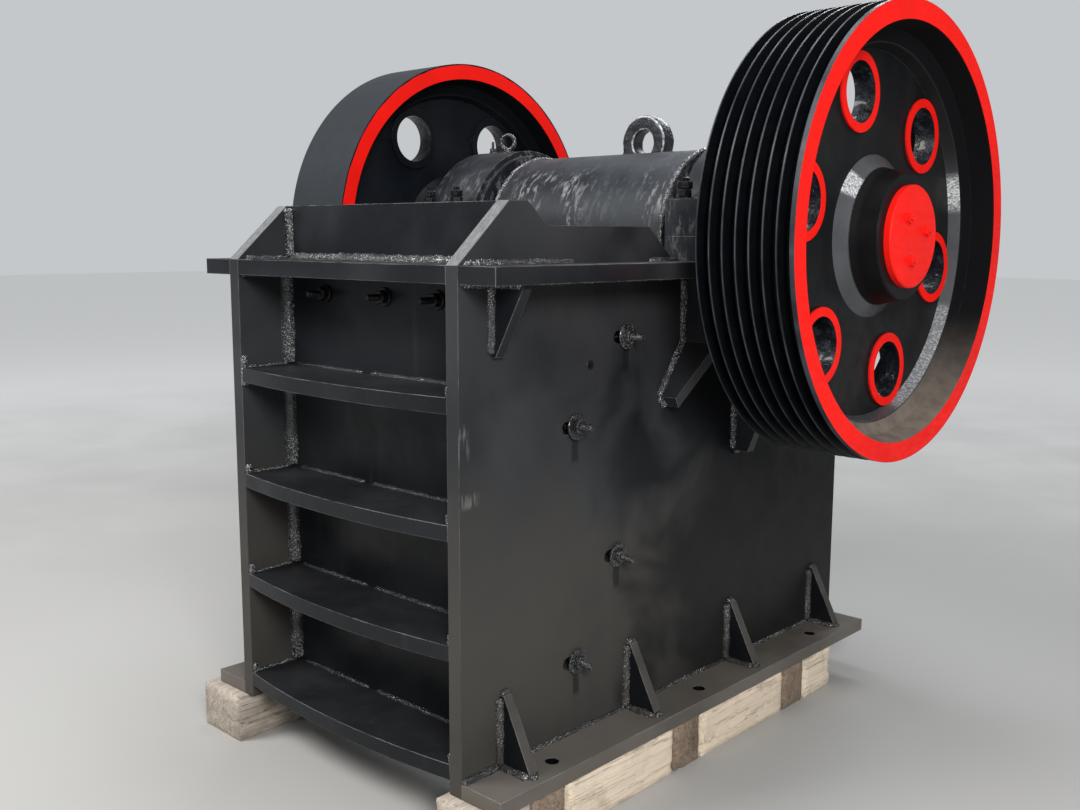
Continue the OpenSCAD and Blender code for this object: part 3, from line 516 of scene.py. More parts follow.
@dataclass(frozen=True)
class CastPaint:
    """Thin dark paint on a rough casting, rubbed pale in patches where it has been handled."""

    name: str = "cast_paint"
    deep: Rgb = (0.013, 0.0155, 0.020)
    lit: Rgb = (0.033, 0.038, 0.046)
    rubbed: Rgb = (0.34, 0.35, 0.37)
    rub_amount: float = 0.78
    roughness: float = 0.46
    pits: float = 0.0012
    shift: float = 2.4
    worn_places: tuple[Pair, ...] = ()
    shine: float = 0.18

    def build(self) -> Material:
        """Builds the material."""
        s = Shade(self.name)
        cloud = s.grain(4.5, 4.0, offset=7.0, rough=0.6)
        patch = s.grain(6.5, 2.0, stretch=(1.0, 1.0, 1.2), offset=self.shift, warp=0.4)
        wipe = s.grain(58.0, 5.0, stretch=(1.0, 0.42, 0.32), offset=1.0, rough=0.74, warp=0.3)
        across = s.xyz(s.place)["X"]
        worn: object = 0.10 if self.worn_places else 1.0
        for middle, half in self.worn_places:
            gap = s.gap(across, middle)
            worn = s.most(worn, s.span(gap, half, half * 0.35))
        grit = s.grain(260.0, 4.0, rough=0.7)
        soft = s.soft_edge(0.004)
        edges = s.edge_mask(soft, 0.02, 0.25)
        base = s.mix(s.span(cloud, 0.3, 0.7), self.deep, self.lit)
        rub = s.times(s.span(patch, 0.36, 0.58), worn, s.span(wipe, 0.49, 0.62))
        rub = s.times(rub, s.span(s.upward(0.55, 0.92), 0.0, 1.0, (1.0, 0.15)))
        base = s.mix(s.times(rub, self.rub_amount), base, self.rubbed)
        base = s.mix(s.times(edges, s.span(wipe, 0.4, 0.6), 0.6), base, self.rubbed)
        # painted highlight: faces that point straight up lightened, as along the barrel's crest
        base = s.mix(s.times(s.upward(0.9, 0.995), 0.12), base, (0.13, 0.13, 0.13))
        rough = s.math("ADD", self.roughness, s.span(cloud, 0.35, 0.7, (-0.08, 0.10)), clamp=True)
        normal = s.bump(grit, 0.40, self.pits, soft)
        normal = s.bump(s.times(wipe, s.span(patch, 0.45, 0.66)), 0.30, 0.0016, normal)
        normal = s.bump(cloud, 0.30, 0.006, normal)
        return s.finish(base, rough, normal, Specular_IOR_Level=self.shine)


@dataclass(frozen=True)
class RedPaint:
    """Bright red gloss paint, brushed on."""

    name: str = "red_paint"
    bright: Rgb = (0.97, 0.010, 0.005)
    dull: Rgb = (0.84, 0.009, 0.005)
    roughness: float = 0.46

    def coat(self, s: Shade) -> tuple[Socket, Socket, Socket]:
        """Draws the paint on a board.

        Args:
            s: The material's board.

        Returns:
            Colour, roughness and brush height.
        """
        cloud = s.grain(6.0, 4.0, offset=9.0)
        brush = s.grain(70.0, 3.0, stretch=(1.0, 0.3, 1.0), offset=3.0)
        colour = s.mix(s.span(cloud, 0.3, 0.75), self.bright, self.dull)
        rough = s.math("ADD", self.roughness, s.span(brush, 0.3, 0.7, (-0.06, 0.14)), clamp=True)
        return colour, rough, brush

    def build(self) -> Material:
        """Builds the material."""
        s = Shade(self.name)
        colour, rough, brush = self.coat(s)
        soft = s.soft_edge(0.002)
        chips = s.times(s.edge_mask(soft), s.span(s.grain(60.0, 4.0, rough=0.7), 0.55, 0.7))
        colour = s.mix(chips, colour, (0.05, 0.03, 0.03))
        normal = s.bump(brush, 0.25, 0.0012, soft)
        return s.finish(colour, rough, normal, Specular_IOR_Level=0.20)


@dataclass(frozen=True)
class WheelSpot:
    """A shaded point of a wheel: square and round coordinates about the axle, and its place along it."""

    y: Socket
    z: Socket
    radius: Socket
    turn: Socket
    out: Socket


@dataclass(frozen=True)
class WheelPaint:
    """A cast wheel's paint: dark all over, with red rim faces and red rings round the holes, and painted light:
    shade in the grooves and rim bore, highlights on chamfers, edges and ridges, bounce light low in the bore.

    Sizes are in metres in the frame; the red edges wander a little, as a brush leaves them.
    """

    name: str
    axis_y: float
    axis_z: float
    outer_x: float
    inner_x: float
    web_x: float
    side: int
    rim_inner: float
    ring_circle: float
    ring_inner: float
    ring_outer: float
    root_low: float
    root_high: float
    hub_radius: float
    hole_turn: float
    grooved: bool
    glare_root: Pair
    glare_hub: Pair
    highlit_root: Pair
    red: RedPaint = RedPaint()
    deep: Rgb = (0.0042, 0.0048, 0.0062)
    lit: Rgb = (0.014, 0.0142, 0.0145)
    tread: Rgb = (0.030, 0.034, 0.040)
    ridge: Rgb = (0.062, 0.070, 0.084)
    # near-black colour of the painted shade in the grooves and the rim's bore
    groove: Rgb = (0.0015, 0.0020, 0.0030)
    # pale colour of the chamfer bands: painted highlight
    band: Rgb = (0.110, 0.116, 0.128)
    # warm colour of the painted bounce light low in the rim's bore
    dust: Rgb = (0.225, 0.190, 0.160)
    # colour of the painted highlights on the chamfers
    bare: Rgb = (0.78, 0.80, 0.82)
    first_groove: float = 0.719
    groove_pitch: float = 0.037

    def build(self) -> Material:
        """Builds the material."""
        s = Shade(self.name)
        at = self.spot(s)
        face = self.near(s, at.out, self.outer_x)
        red = self.red_mask(s, at, face)
        front = s.span(at.out, self.web_x - 0.003, self.web_x - 0.001)
        root = self.annulus(s, at, self.root_low, self.root_high)
        collar = self.annulus(s, at, self.hub_radius + 0.0175, self.hub_radius + 0.0505)
        bands = s.times(s.most(root, collar), front)
        # painted highlight: glare patches on the root and hub chamfers
        glare = s.times(s.most(s.times(root, self.sector(s, at, self.glare_root)),
                               s.times(collar, self.sector(s, at, self.glare_hub))), front)
        bore = s.times(s.span(at.radius, self.root_high + 0.001, self.root_high + 0.004),
                       s.span(at.radius, self.rim_inner + 0.004, self.rim_inner + 0.002))
        high = s.times(root, s.span(at.z, 0.05, 0.30))

        cloud = s.grain(3.4, 4.0, offset=6.0, rough=0.55)
        mottle = s.grain(22.0, 4.0, offset=2.0, rough=0.6)
        crinkle = s.grain(230.0, 4.0, stretch=(0.45, 1.0, 1.0), offset=5.0, rough=0.65)
        soft = s.soft_edge(0.0009)
        edges = s.edge_mask(soft, 0.02, 0.22)
        dark = s.mix(s.span(cloud, 0.3, 0.7), self.deep, self.lit)
        if self.grooved:
            dark, edges = self.grooves(s, at, face, dark, edges)
        else:
            dark = s.mix(s.span(at.radius, self.rim_inner + 0.0500, self.rim_inner + 0.0515), dark, self.tread)
        # painted shade: the rim's bore darkened almost black
        dark = s.mix(s.times(bore, 0.85), dark, self.groove)
        # painted bounce light: the bottom of the rim's bore lightened to a warm tone
        bore_bounce_light = s.times(bore, front, s.span(at.z, -0.21, -0.60), s.span(mottle, 0.25, 0.70, (0.65, 1.0)))
        dark = s.mix(bore_bounce_light, dark, self.dust)
        boss = s.times(front, s.span(at.radius, self.hub_radius + 0.014, self.hub_radius + 0.010))
        dark = s.mix(s.times(boss, 0.6), dark, self.groove)
        # painted highlight: the chamfer bands lighter, fading out towards the top of the root
        pale = s.times(s.span(cloud, 0.25, 0.75, (0.45, 1.0)), s.span(high, 0.0, 1.0, (0.85, 0.02)))
        dark = s.mix(s.times(bands, pale), dark, self.band)
        # painted highlight: edges and ridge lines lightened
        dark = s.mix(s.times(edges, s.span(mottle, 0.35, 0.7, (0.1, 0.7))), dark, (0.22, 0.23, 0.24))
        # painted highlight: bright crinkled spots in the glare patches and the lit patch on the root
        sparkle = s.times(glare, s.span(crinkle, 0.40, 0.60, (0.18, 0.85)))
        rubbed = s.times(root, self.sector(s, at, self.highlit_root), front,
                         s.span(crinkle, 0.42, 0.68, (0.08, 0.46)))
        dark = s.mix(s.most(sparkle, rubbed), dark, self.bare)
        red_colour, red_rough, brush = self.red.coat(s)
        lively = s.times(bands, s.span(high, 0.0, 1.0, (1.0, 0.0)))
        rough = s.blend(s.most(bore, high), s.span(mottle, 0.3, 0.7, (0.34, 0.48)), 0.85)
        rough = s.blend(lively, rough, s.span(mottle, 0.3, 0.7, (0.20, 0.30)))
        rough = s.blend(red, rough, red_rough)
        normal = s.bump(s.times(crinkle, glare), 0.6, 0.0030, soft)
        normal = s.bump(s.times(mottle, lively), 0.35, 0.0030, normal)
        normal = s.bump(brush, 0.12, 0.001, normal)
        normal = s.bump(cloud, 0.22, 0.012, normal)
        return s.finish(s.mix(red, dark, red_colour), rough, normal, Specular_IOR_Level=0.12)

    def spot(self, s: Shade) -> WheelSpot:
        """Finds the shaded point about the axle."""
        parts = s.xyz(s.place)
        y, z = s.less(parts["Y"], self.axis_y), s.less(parts["Z"], self.axis_z)
        return WheelSpot(y, z, s.reach(y, z), s.math("ARCTAN2", z, y), s.times(parts["X"], float(self.side)))

    def red_mask(self, s: Shade, at: WheelSpot, face: Socket) -> Socket:
        """1 on the rim's two faces and on the rings that stand proud round the holes.

        Args:
            s: The material's board.
            at: The shaded point.
            face: The mask of the rim's outer face.

        Returns:
            The mask.
        """
        rim = self.rim_inner
        wander = s.span(s.grain(16.0, 2.0, offset=4.0), 0.2, 0.8, (-0.0022, 0.0022), smooth=False)
        ragged = s.plus(at.radius, wander)
        ring_of_rim = s.times(s.span(ragged, rim - 0.0035, rim - 0.0015),
                              s.span(at.radius, rim + 0.0516, rim + 0.0510))
        back = s.times(self.near(s, at.out, self.inner_x), s.span(ragged, rim + 0.0475, rim + 0.0460))
        away = self.from_hole(s, at)
        near_hole = s.times(s.span(away, self.ring_outer + 0.0012, self.ring_outer + 0.0004),
                            s.span(away, self.ring_inner - 0.0012, self.ring_inner + 0.0006))
        proud = s.span(at.out, self.web_x + 0.003, self.web_x + 0.0045)
        off_hub = s.span(at.radius, self.hub_radius + 0.05, self.hub_radius + 0.06)
        return s.most(s.times(s.most(face, back), ring_of_rim), s.times(near_hole, proud, off_hub))

    def grooves(self, s: Shade, at: WheelSpot, face: Socket, dark: Socket,
                edges: Socket) -> tuple[Socket, Socket]:
        """Darkens the belt grooves and wears the ridges between them.

        Args:
            s: The material's board.
            at: The shaded point.
            face: The mask of the rim's outer face.
            dark: The colour so far.
            edges: The mask of lightened edges so far: painted highlight.

        Returns:
            The colour and the mask of lightened edges.
        """
        rim = self.rim_inner
        top = s.span(at.radius, rim + 0.0496, rim + 0.0512)
        groove = s.math("FLOORED_MODULO", s.less(at.out, self.first_groove), self.groove_pitch)
        land = s.most(s.span(s.gap(groove, self.groove_pitch / 2), 0.0020, 0.0009),
                      s.span(at.out, self.outer_x - 0.0140, self.outer_x - 0.0120))
        top = s.times(top, s.span(land, 0.0, 1.0, (0.10, 1.0)))
        inside = s.span(at.radius, rim + 0.0105, rim + 0.0125)
        # painted shade: the grooves darkened almost black
        dark = s.mix(s.times(inside, s.less(1.0, face)), dark, self.groove)
        # painted highlight: the ridge tops lightened in patches
        worn = s.times(top, s.span(s.grain(9.0, 3.0, offset=1.0), 0.32, 0.68, (0.25, 1.0)))
        return s.mix(worn, dark, self.ridge), s.times(edges, s.span(inside, 0.0, 1.0, (1.0, 0.35)))

    @staticmethod
    def annulus(s: Shade, at: WheelSpot, low: float, high: float) -> Socket:
        """1 between two radii, fading over a millimetre outside."""
        return s.times(s.span(at.radius, low - 0.001, low), s.span(at.radius, high + 0.001, high))

    @staticmethod
    def sector(s: Shade, at: WheelSpot, degrees: Pair) -> Socket:
        """1 between two turns about the axle, fading over a few degrees outside."""
        low, high = (math.radians(a) for a in degrees)
        fade = math.radians(4.5)
        return s.times(s.span(at.turn, low - fade, low), s.span(at.turn, high + fade, high))

    @staticmethod
    def near(s: Shade, value: Socket, target: float, reach: float = 0.0012) -> Socket:
        """1 where a value is within reach of a target."""
        return s.span(s.gap(value, target), reach * 1.2, reach * 0.8)

    def from_hole(self, s: Shade, at: WheelSpot) -> Socket:
        """Distance from the nearest hole's middle, the six holes being folded onto one."""
        sixth = math.pi / 3
        turn = s.less(at.turn, math.radians(self.hole_turn) - 3 * sixth - sixth / 2)
        folded = s.less(s.math("FLOORED_MODULO", turn, sixth), sixth / 2)
        along = s.less(s.times(at.radius, s.math("COSINE", folded)), self.ring_circle)
        return s.reach(along, s.times(at.radius, s.math("SINE", folded)))


@dataclass(frozen=True)
class Steel:
    """Bare steel: dark rolled or cast skin, bright where it rubs, a little rust in the low places."""

    name: str
    base: Rgb = (0.30, 0.29, 0.28)
    dark: Rgb = (0.16, 0.15, 0.145)
    rust: Rgb = (0.20, 0.085, 0.04)
    rust_amount: float = 0.35
    roughness: float = 0.42
    metallic: float = 0.85
    turned: bool = False

    def build(self) -> Material:
        """Builds the material."""
        s = Shade(self.name)
        cloud = s.grain(9.0, 5.0, rough=0.6)
        fine = s.grain(240.0, 3.0, rough=0.6)
        if self.turned:
            lines = s.grain(500.0, 2.0, stretch=(1.0, 0.04, 0.04))
        else:
            lines = s.grain(90.0, 4.0, rough=0.7)
        soft = s.soft_edge(0.0018)
        base = s.mix(s.span(cloud, 0.35, 0.7), self.base, self.dark)
        stain = s.times(s.span(cloud, 0.52, 0.72), s.span(fine, 0.35, 0.65))
        base = s.mix(s.times(stain, self.rust_amount), base, self.rust)
        base = s.mix(s.times(s.edge_mask(soft), 0.5), base, (0.5, 0.49, 0.48))
        rough = s.math("ADD", self.roughness, s.span(cloud, 0.3, 0.7, (-0.08, 0.16)), clamp=True)
        normal = s.bump(lines, 0.25, 0.0008, soft)
        normal = s.bump(fine, 0.20, 0.0008, normal)
        return s.finish(base, rough, normal, Metallic=self.metallic)


@dataclass(frozen=True)
class SleeperWood:
    """Weathered softwood: grain lines along the piece, stains, dark cracks and a few knots."""

    name: str
    pale: Rgb
    dark: Rgb
    stain: Rgb = (0.13, 0.105, 0.085)
    kind: TimberKind = TimberKind.LONG
    split_depth: float = 0.7
    holes: HoleSpots | None = None

    def build(self) -> Material:
        """Builds the material."""
        s = Shade(self.name)
        long_grain = (1.0, 0.035, 1.0) if self.kind is TimberKind.LONG else (0.035, 1.0, 1.0)
        fibre = s.grain(160.0, 6.0, stretch=long_grain, rough=0.65, warp=0.2)
        board = s.grain(22.0, 3.0, stretch=long_grain, offset=3.0, warp=0.5)
        stain = s.grain(7.0, 4.0, offset=6.0, rough=0.6)
        crack = s.grain(34.0, 5.0, stretch=long_grain, offset=11.0, rough=0.55)
        knot = s.add("ShaderNodeTexVoronoi", {"Vector": s.place, "Scale": 3.4, "Randomness": 1.0})
        knots = s.span(knot.outputs["Distance"], 0.11, 0.05)
        base = s.mix(s.span(fibre, 0.32, 0.68), self.dark, self.pale)
        base = s.mix(s.span(board, 0.35, 0.75, (0.0, 0.55)), base, self.dark)
        base = s.mix(s.span(stain, 0.50, 0.74, (0.0, 0.6)), base, self.stain)
        base = s.mix(s.times(knots, 0.65), base, (0.12, 0.075, 0.045))
        split = s.span(s.gap(crack, 0.5), 0.010, 0.0)
        base = s.mix(s.times(split, self.split_depth), base, (0.03, 0.024, 0.02))
        if self.holes is not None:
            # painted shade: the timber darkened below the anchor holes
            base = s.mix(s.hole_shade_mask(self.holes), base, (0.004, 0.0035, 0.003))
        normal = s.bump(fibre, 0.38, 0.0022)
        normal = s.bump(s.less(1.0, split), 0.6, 0.003, normal)
        normal = s.bump(board, 0.3, 0.006, normal)
        return s.finish(base, 0.86, normal, Specular_IOR_Level=0.25)


@dataclass(frozen=True)
class FloorFinish:
    """Plain pale floor with the faintest cloudiness; painted light: darker near the machine, paler and glowing
    further out, evening out the lamps' falloff.
    """

    name: str = "pale_floor"
    near: Rgb = (0.44, 0.435, 0.425)
    far: Rgb = (0.80, 0.795, 0.785)
    far_light: float = 0.36

    def build(self) -> Material:
        """Builds the material."""
        s = Shade(self.name)
        cloud = s.grain(0.8, 4.0, rough=0.6)
        away = s.vector("LENGTH", s.place).outputs["Value"]
        away = s.plus(away, s.span(cloud, 0.3, 0.7, (-0.3, 0.3)))
        # painted light: paler with distance, and a glow further out, evening out the lamps' falloff
        base = s.mix(s.span(away, 2.0, 9.0), self.near, self.far)
        glow = s.span(away, 1.9, 10.0, (0.0, self.far_light))
        return s.finish(base, 0.62, s.bump(s.grain(120.0, 3.0), 0.1, 0.001), Specular_IOR_Level=0.3,
                        Emission_Color=(0.92, 0.95, 0.97, 1.0), Emission_Strength=glow)


class FinishShelf:
    """Holds one built material for each finish, so that pieces share them."""

    def __init__(self) -> None:
        """Starts with an empty shelf."""
        self.built: dict[str, Material] = {}

    def take(self, finish: object) -> Material:
        """Returns the finish's material, building it the first time.

        Args:
            finish: A finish with a name and a build method.

        Returns:
            The material.
        """
        if finish.name not in self.built:
            self.built[finish.name] = finish.build()
        return self.built[finish.name]


# The machine's measures


@dataclass(frozen=True)
class Span:
    """A node's box in machine millimetres."""

    low: Vector
    high: Vector


@dataclass(frozen=True)
class Machine:
    """The crusher's main lines in machine millimetres, read from the frame's own nodes."""

    origin: Vector
    shaft_y: float
    shaft_z: float
    ecc_z: float
    anchor_x: float = 533.0
    anchor_y: tuple[float, ...] = (238.0, 865.0, 1492.0)
    anchor_r: float = 17.5

    @classmethod
    def read(cls) -> "Machine":
        """Reads the origin and the shaft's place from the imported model."""
        low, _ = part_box("side_plate_right")
        origin = Vector((0.0, low.y, low.z))
        cover_low, cover_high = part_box("end_cover_right")
        middle = ((cover_low + cover_high) / 2 - origin) / MM
        shaft_low, shaft_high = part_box("eccentric_shaft")
        ecc_z = (shaft_low.z - origin.z) / MM + (shaft_high.y - shaft_low.y) / MM / 2
        return cls(origin, round(middle.y, 2), round(middle.z, 2), round(ecc_z, 2))

    def anchor_holes(self) -> HoleSpots:
        """The anchor holes, which open in the base flanges' top."""
        along = tuple(self.point(0.0, y, 0.0).y for y in self.anchor_y)
        top = self.span("base_flange_right").high.z * MM + self.origin.z
        return HoleSpots(out=self.anchor_x * MM, along=along, radius=self.anchor_r * MM, top=top)

    def point(self, x: float, y: float, z: float) -> Vector:
        """Turns machine millimetres into the frame's metres."""
        return self.origin + Vector((x, y, z)) * MM

    def about_shaft(self, radius: float, turns: Sequence[int],
                    height: float | None = None) -> list[Pair]:
        """Points round the shaft, or round an axle at another height, as y and z.

        Args:
            radius: Their distance from the axle.
            turns: The first turn in degrees, the end and the step.
            height: The axle's z, or None for the shaft's own.

        Returns:
            The points.
        """
        middle = self.shaft_z if height is None else height
        return [(self.shaft_y + radius * math.cos(t), middle + radius * math.sin(t))
                for t in map(math.radians, range(*turns))]

    def span(self, node: str) -> Span:
        """Reads a node's box."""
        low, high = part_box(node)
        return Span((low - self.origin) / MM, (high - self.origin) / MM)


@dataclass
class Workshop:
    """What every sub-assembly is built with: the machine's measures and the finishes."""

    machine: Machine
    shelf: FinishShelf
    paint: PlatePaint = PlatePaint()
    bead: BeadPaint = BeadPaint()
    bolt: BeadPaint = BeadPaint(
        "bolt_paint", deep=(0.006, 0.0065, 0.008), lit=(0.032, 0.034, 0.038), glints=0.50, roughness=0.20,
        lump_scale=230.0, depth=0.0010, rare=0.61, gloss=0.7)
    dark_bolt: BeadPaint = BeadPaint(
        "dark_bolt_paint", deep=(0.0045, 0.005, 0.007), lit=(0.016, 0.0165, 0.018), glints=0.12,
        roughness=0.30, lump_scale=150.0, depth=0.0012, rare=0.64, gloss=0.25)
    count: int = 0

    def add(self, name: str, mesh: Mesh, finish: object, body: Body, slot: str,
            replaces: Sequence[str] = ()) -> bpy.types.Object:
        """Makes a finished mesh a piece of the scene.

        Args:
            name: The piece's name.
            mesh: Its mesh, in the frame's metres.
            finish: The finish it takes, or None where the mesh has its material.
            body: The body it rides on.
            slot: The record's material slot; not used.
            replaces: CAD nodes it stands for.

        Returns:
            The piece's object.
        """
        piece = bpy.data.objects.new(name, mesh)
        bpy.context.scene.collection.objects.link(piece)
        if finish is not None:
            mesh.materials.clear()
            mesh.materials.append(self.shelf.take(finish))
        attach(piece, body.value)
        if replaces:
            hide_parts(*replaces)
        self.count += 1
        triangles = sum(len(face.vertices) - 2 for face in mesh.polygons)
        LOG.info("%s: %d triangles on %s", name, triangles, body.value)
        return piece

    def fasten(self, recipe: "FastenerRecipe", name: str, places: Sequence[Vector], kind: "Fastener",
               facing: Facing, seed: int, finish: object = None, leans: Sequence[Point] = (),
               body: Body = Body.FRAME, slot: str = "frame_paint") -> None:
        """Makes one group of fasteners a piece.

        Args:
            recipe: The recipe that makes them.
            name: The piece's name.
            places: Where each one is seated, in the frame's metres.
            kind: Their sizes.
            facing: The way they point.
            seed: Turns their nuts.
            finish: Their finish, or None for the recipe's own.
            leans: The turn by which each one leans, or nothing where they stand square.
            body: The body they ride on.
            slot: The record's material slot; not used.
        """
        base = point_mesh(f"{name}_points", places, leans)
        mesh = recipe.run(name, base, Facing=facing.value, Seed=seed, **kind.inputs())
        smooth_by_angle(mesh, 40)
        self.add(name, mesh, finish, body, slot)

    def dress(self, nodes: Iterable[str], finish: object) -> None:
        """Gives CAD nodes a finish.

        Args:
            nodes: Node names.
            finish: The finish they take.
        """
        material = self.shelf.take(finish)
        for node in nodes:
            slots = FRAME["nodes"][node].data.materials
            slots.clear()
            slots.append(material)
            LOG.info("%s: dressed in %s", node, finish.name)


# Mesh helpers


def smooth_by_angle(mesh: Mesh, degrees: float = 35.0) -> None:
    """Shades a mesh smooth except across edges sharper than an angle."""
    mesh.shade_smooth()
    mesh.set_sharp_from_angle(angle=math.radians(degrees))


def mesh_from_bmesh(name: str, shape: BMesh, degrees: float = 35.0) -> Mesh:
    """Turns a bmesh into a shaded mesh with its faces outward, and frees it."""
    bmesh.ops.remove_doubles(shape, verts=shape.verts, dist=1e-6)
    bmesh.ops.recalc_face_normals(shape, faces=shape.faces)
    mesh = bpy.data.meshes.new(name)
    shape.to_mesh(mesh)
    shape.free()
    smooth_by_angle(mesh, degrees)
    return mesh


def add_grid_tube(shape: BMesh, rows: int, columns: int, place: Callable[[int, int], Vector],
                  close_rows: bool) -> None:
    """Adds a tube of quads whose columns close on themselves.

    Args:
        shape: The mesh to add to.
        rows: Number of rings.
        columns: Points in a ring.
        place: Gives the point of a row and column.
        close_rows: Joins the last ring to the first; otherwise both ends are capped.
    """
    rings = [[shape.verts.new(place(i, j)) for j in range(columns)] for i in range(rows)]
    for i in range(rows if close_rows else rows - 1):
        ring, following = rings[i], rings[(i + 1) % rows]
        for j in range(columns):
            k = (j + 1) % columns
            shape.faces.new((ring[j], ring[k], following[k], following[j]))
    if not close_rows:
        shape.faces.new(rings[0])
        shape.faces.new(list(reversed(rings[-1])))


# Geometry node trees


class GeometryRecipe(Board):
    """A geometry node tree with named inputs that is run once on a base mesh and kept as a plain mesh."""

    def __init__(self, name: str, sizes: Sequence[tuple[str, str, float | int | Point]]) -> None:
        """Starts a tree with a geometry input and output and its named inputs.

        Args:
            name: The tree's name.
            sizes: The inputs: name, kind (Float, Int or Vector) and usual value.
        """
        super().__init__(bpy.data.node_groups.new(name, "GeometryNodeTree"))
        interface = self.tree.interface
        for way in ("INPUT", "OUTPUT"):
            interface.new_socket("Geometry", in_out=way, socket_type="NodeSocketGeometry")
        self.ids: dict[str, str] = {}
        for label, kind, value in sizes:
            socket = interface.new_socket(label, in_out="INPUT", socket_type=f"NodeSocket{kind}")
            socket.default_value = value
            self.ids[label] = socket.identifier
        self.entry = self.add("NodeGroupInput").outputs

    def stored(self, name: str, kind: str) -> Socket:
        """Reads an attribute of the base mesh."""
        return self.out("GeometryNodeInputNamedAttribute", {"Name": name}, data_type=kind)

    def end(self, geometry: Socket, material: Material) -> None:
        """Closes the tree: real geometry, one material, output."""
        solid = self.out("GeometryNodeRealizeInstances", {"Geometry": geometry})
        dressed = self.out("GeometryNodeSetMaterial", {"Geometry": solid, "Material": material})
        self.add("NodeGroupOutput", {"Geometry": dressed})

    def run(self, name: str, base: Mesh, **values: float | int | Point) -> Mesh:
        """Runs the tree on a base mesh.

        Args:
            name: The finished mesh's name.
            base: Points or paths to work on.
            **values: Inputs by name, with spaces written as underscores.

        Returns:
            The plain mesh.
        """
        holder = bpy.data.objects.new(f"{name}_base", base)
        bpy.context.scene.collection.objects.link(holder)
        modifier = holder.modifiers.new("recipe", "NODES")
        modifier.node_group = self.tree
        for label, value in values.items():
            modifier[self.ids[label.replace("_", " ")]] = value
        depsgraph = bpy.context.evaluated_depsgraph_get()
        mesh = bpy.data.meshes.new_from_object(holder.evaluated_get(depsgraph), depsgraph=depsgraph)
        mesh.name = name
        bpy.data.objects.remove(holder)
        bpy.data.meshes.remove(base)
        return mesh


class BeadRecipe(GeometryRecipe):
    """Weld beads along paths: a rippled, lumpy tube whose size is stored on the path's points."""

    SIZES = (("Step", "Float", 0.004), ("Ripple pitch", "Float", 0.009), ("Ripple height", "Float", 0.10),
             ("Lump height", "Float", 0.0035), ("Lump scale", "Float", 62.0), ("Seed", "Float", 1.0))

    def __init__(self, material: Material) -> None:
        """Builds the tree for one material."""
        super().__init__("weld_beads", self.SIZES)
        entry = self.entry
        path = self.out("GeometryNodeMeshToCurve", {"Mesh": entry["Geometry"]})
        path = self.out("GeometryNodeResampleCurve", {"Curve": path, "Length": entry["Step"]}, mode="LENGTH")
        girth = self.times(self.stored("bead", "FLOAT"), self.girth())
        ring = self.out("GeometryNodeCurvePrimitiveCircle", {"Resolution": 9, "Radius": 1.0}, mode="RADIUS")
        tube = self.out("GeometryNodeCurveToMesh", {"Curve": path, "Profile Curve": ring, "Scale": girth,
                                                    "Fill Caps": True})
        push = self.times(self.less(self.noise(entry["Lump scale"], 2.0), 0.5),
                          self.times(entry["Lump height"], 2.0))
        normal = self.out("GeometryNodeInputNormal")
        offset = self.out("ShaderNodeVectorMath", {0: normal, "Scale": push}, operation="SCALE")
        lumpy = self.out("GeometryNodeSetPosition", {"Geometry": tube, "Offset": offset})
        self.end(self.out("GeometryNodeSetShadeSmooth", {"Geometry": lumpy}), material)

    def girth(self) -> Socket:
        """The bead's girth along its path: rippled, swelling, and slimmer at both ends."""
        along = self.add("GeometryNodeSplineParameter").outputs
        phase = self.times(self.math("DIVIDE", along["Length"], self.entry["Ripple pitch"]), 2 * math.pi)
        ripple = self.times(self.math("SINE", phase), self.entry["Ripple height"])
        swell = self.times(self.less(self.noise(24.0, 1.0), 0.5), 0.7)
        lead = self.span(along["Factor"], 0.0, 0.02, (0.55, 1.0))
        tail = self.span(along["Factor"], 1.0, 0.98, (0.55, 1.0))
        return self.times(self.plus(1.0, self.plus(ripple, swell)), self.math("MINIMUM", lead, tail))

    def noise(self, scale: object, detail: float) -> Socket:
        """Noise on the point's place, moved by the seed."""
        inputs = {"W": self.entry["Seed"], "Scale": scale, "Detail": detail}
        return self.out("ShaderNodeTexNoise", inputs, noise_dimensions="4D")


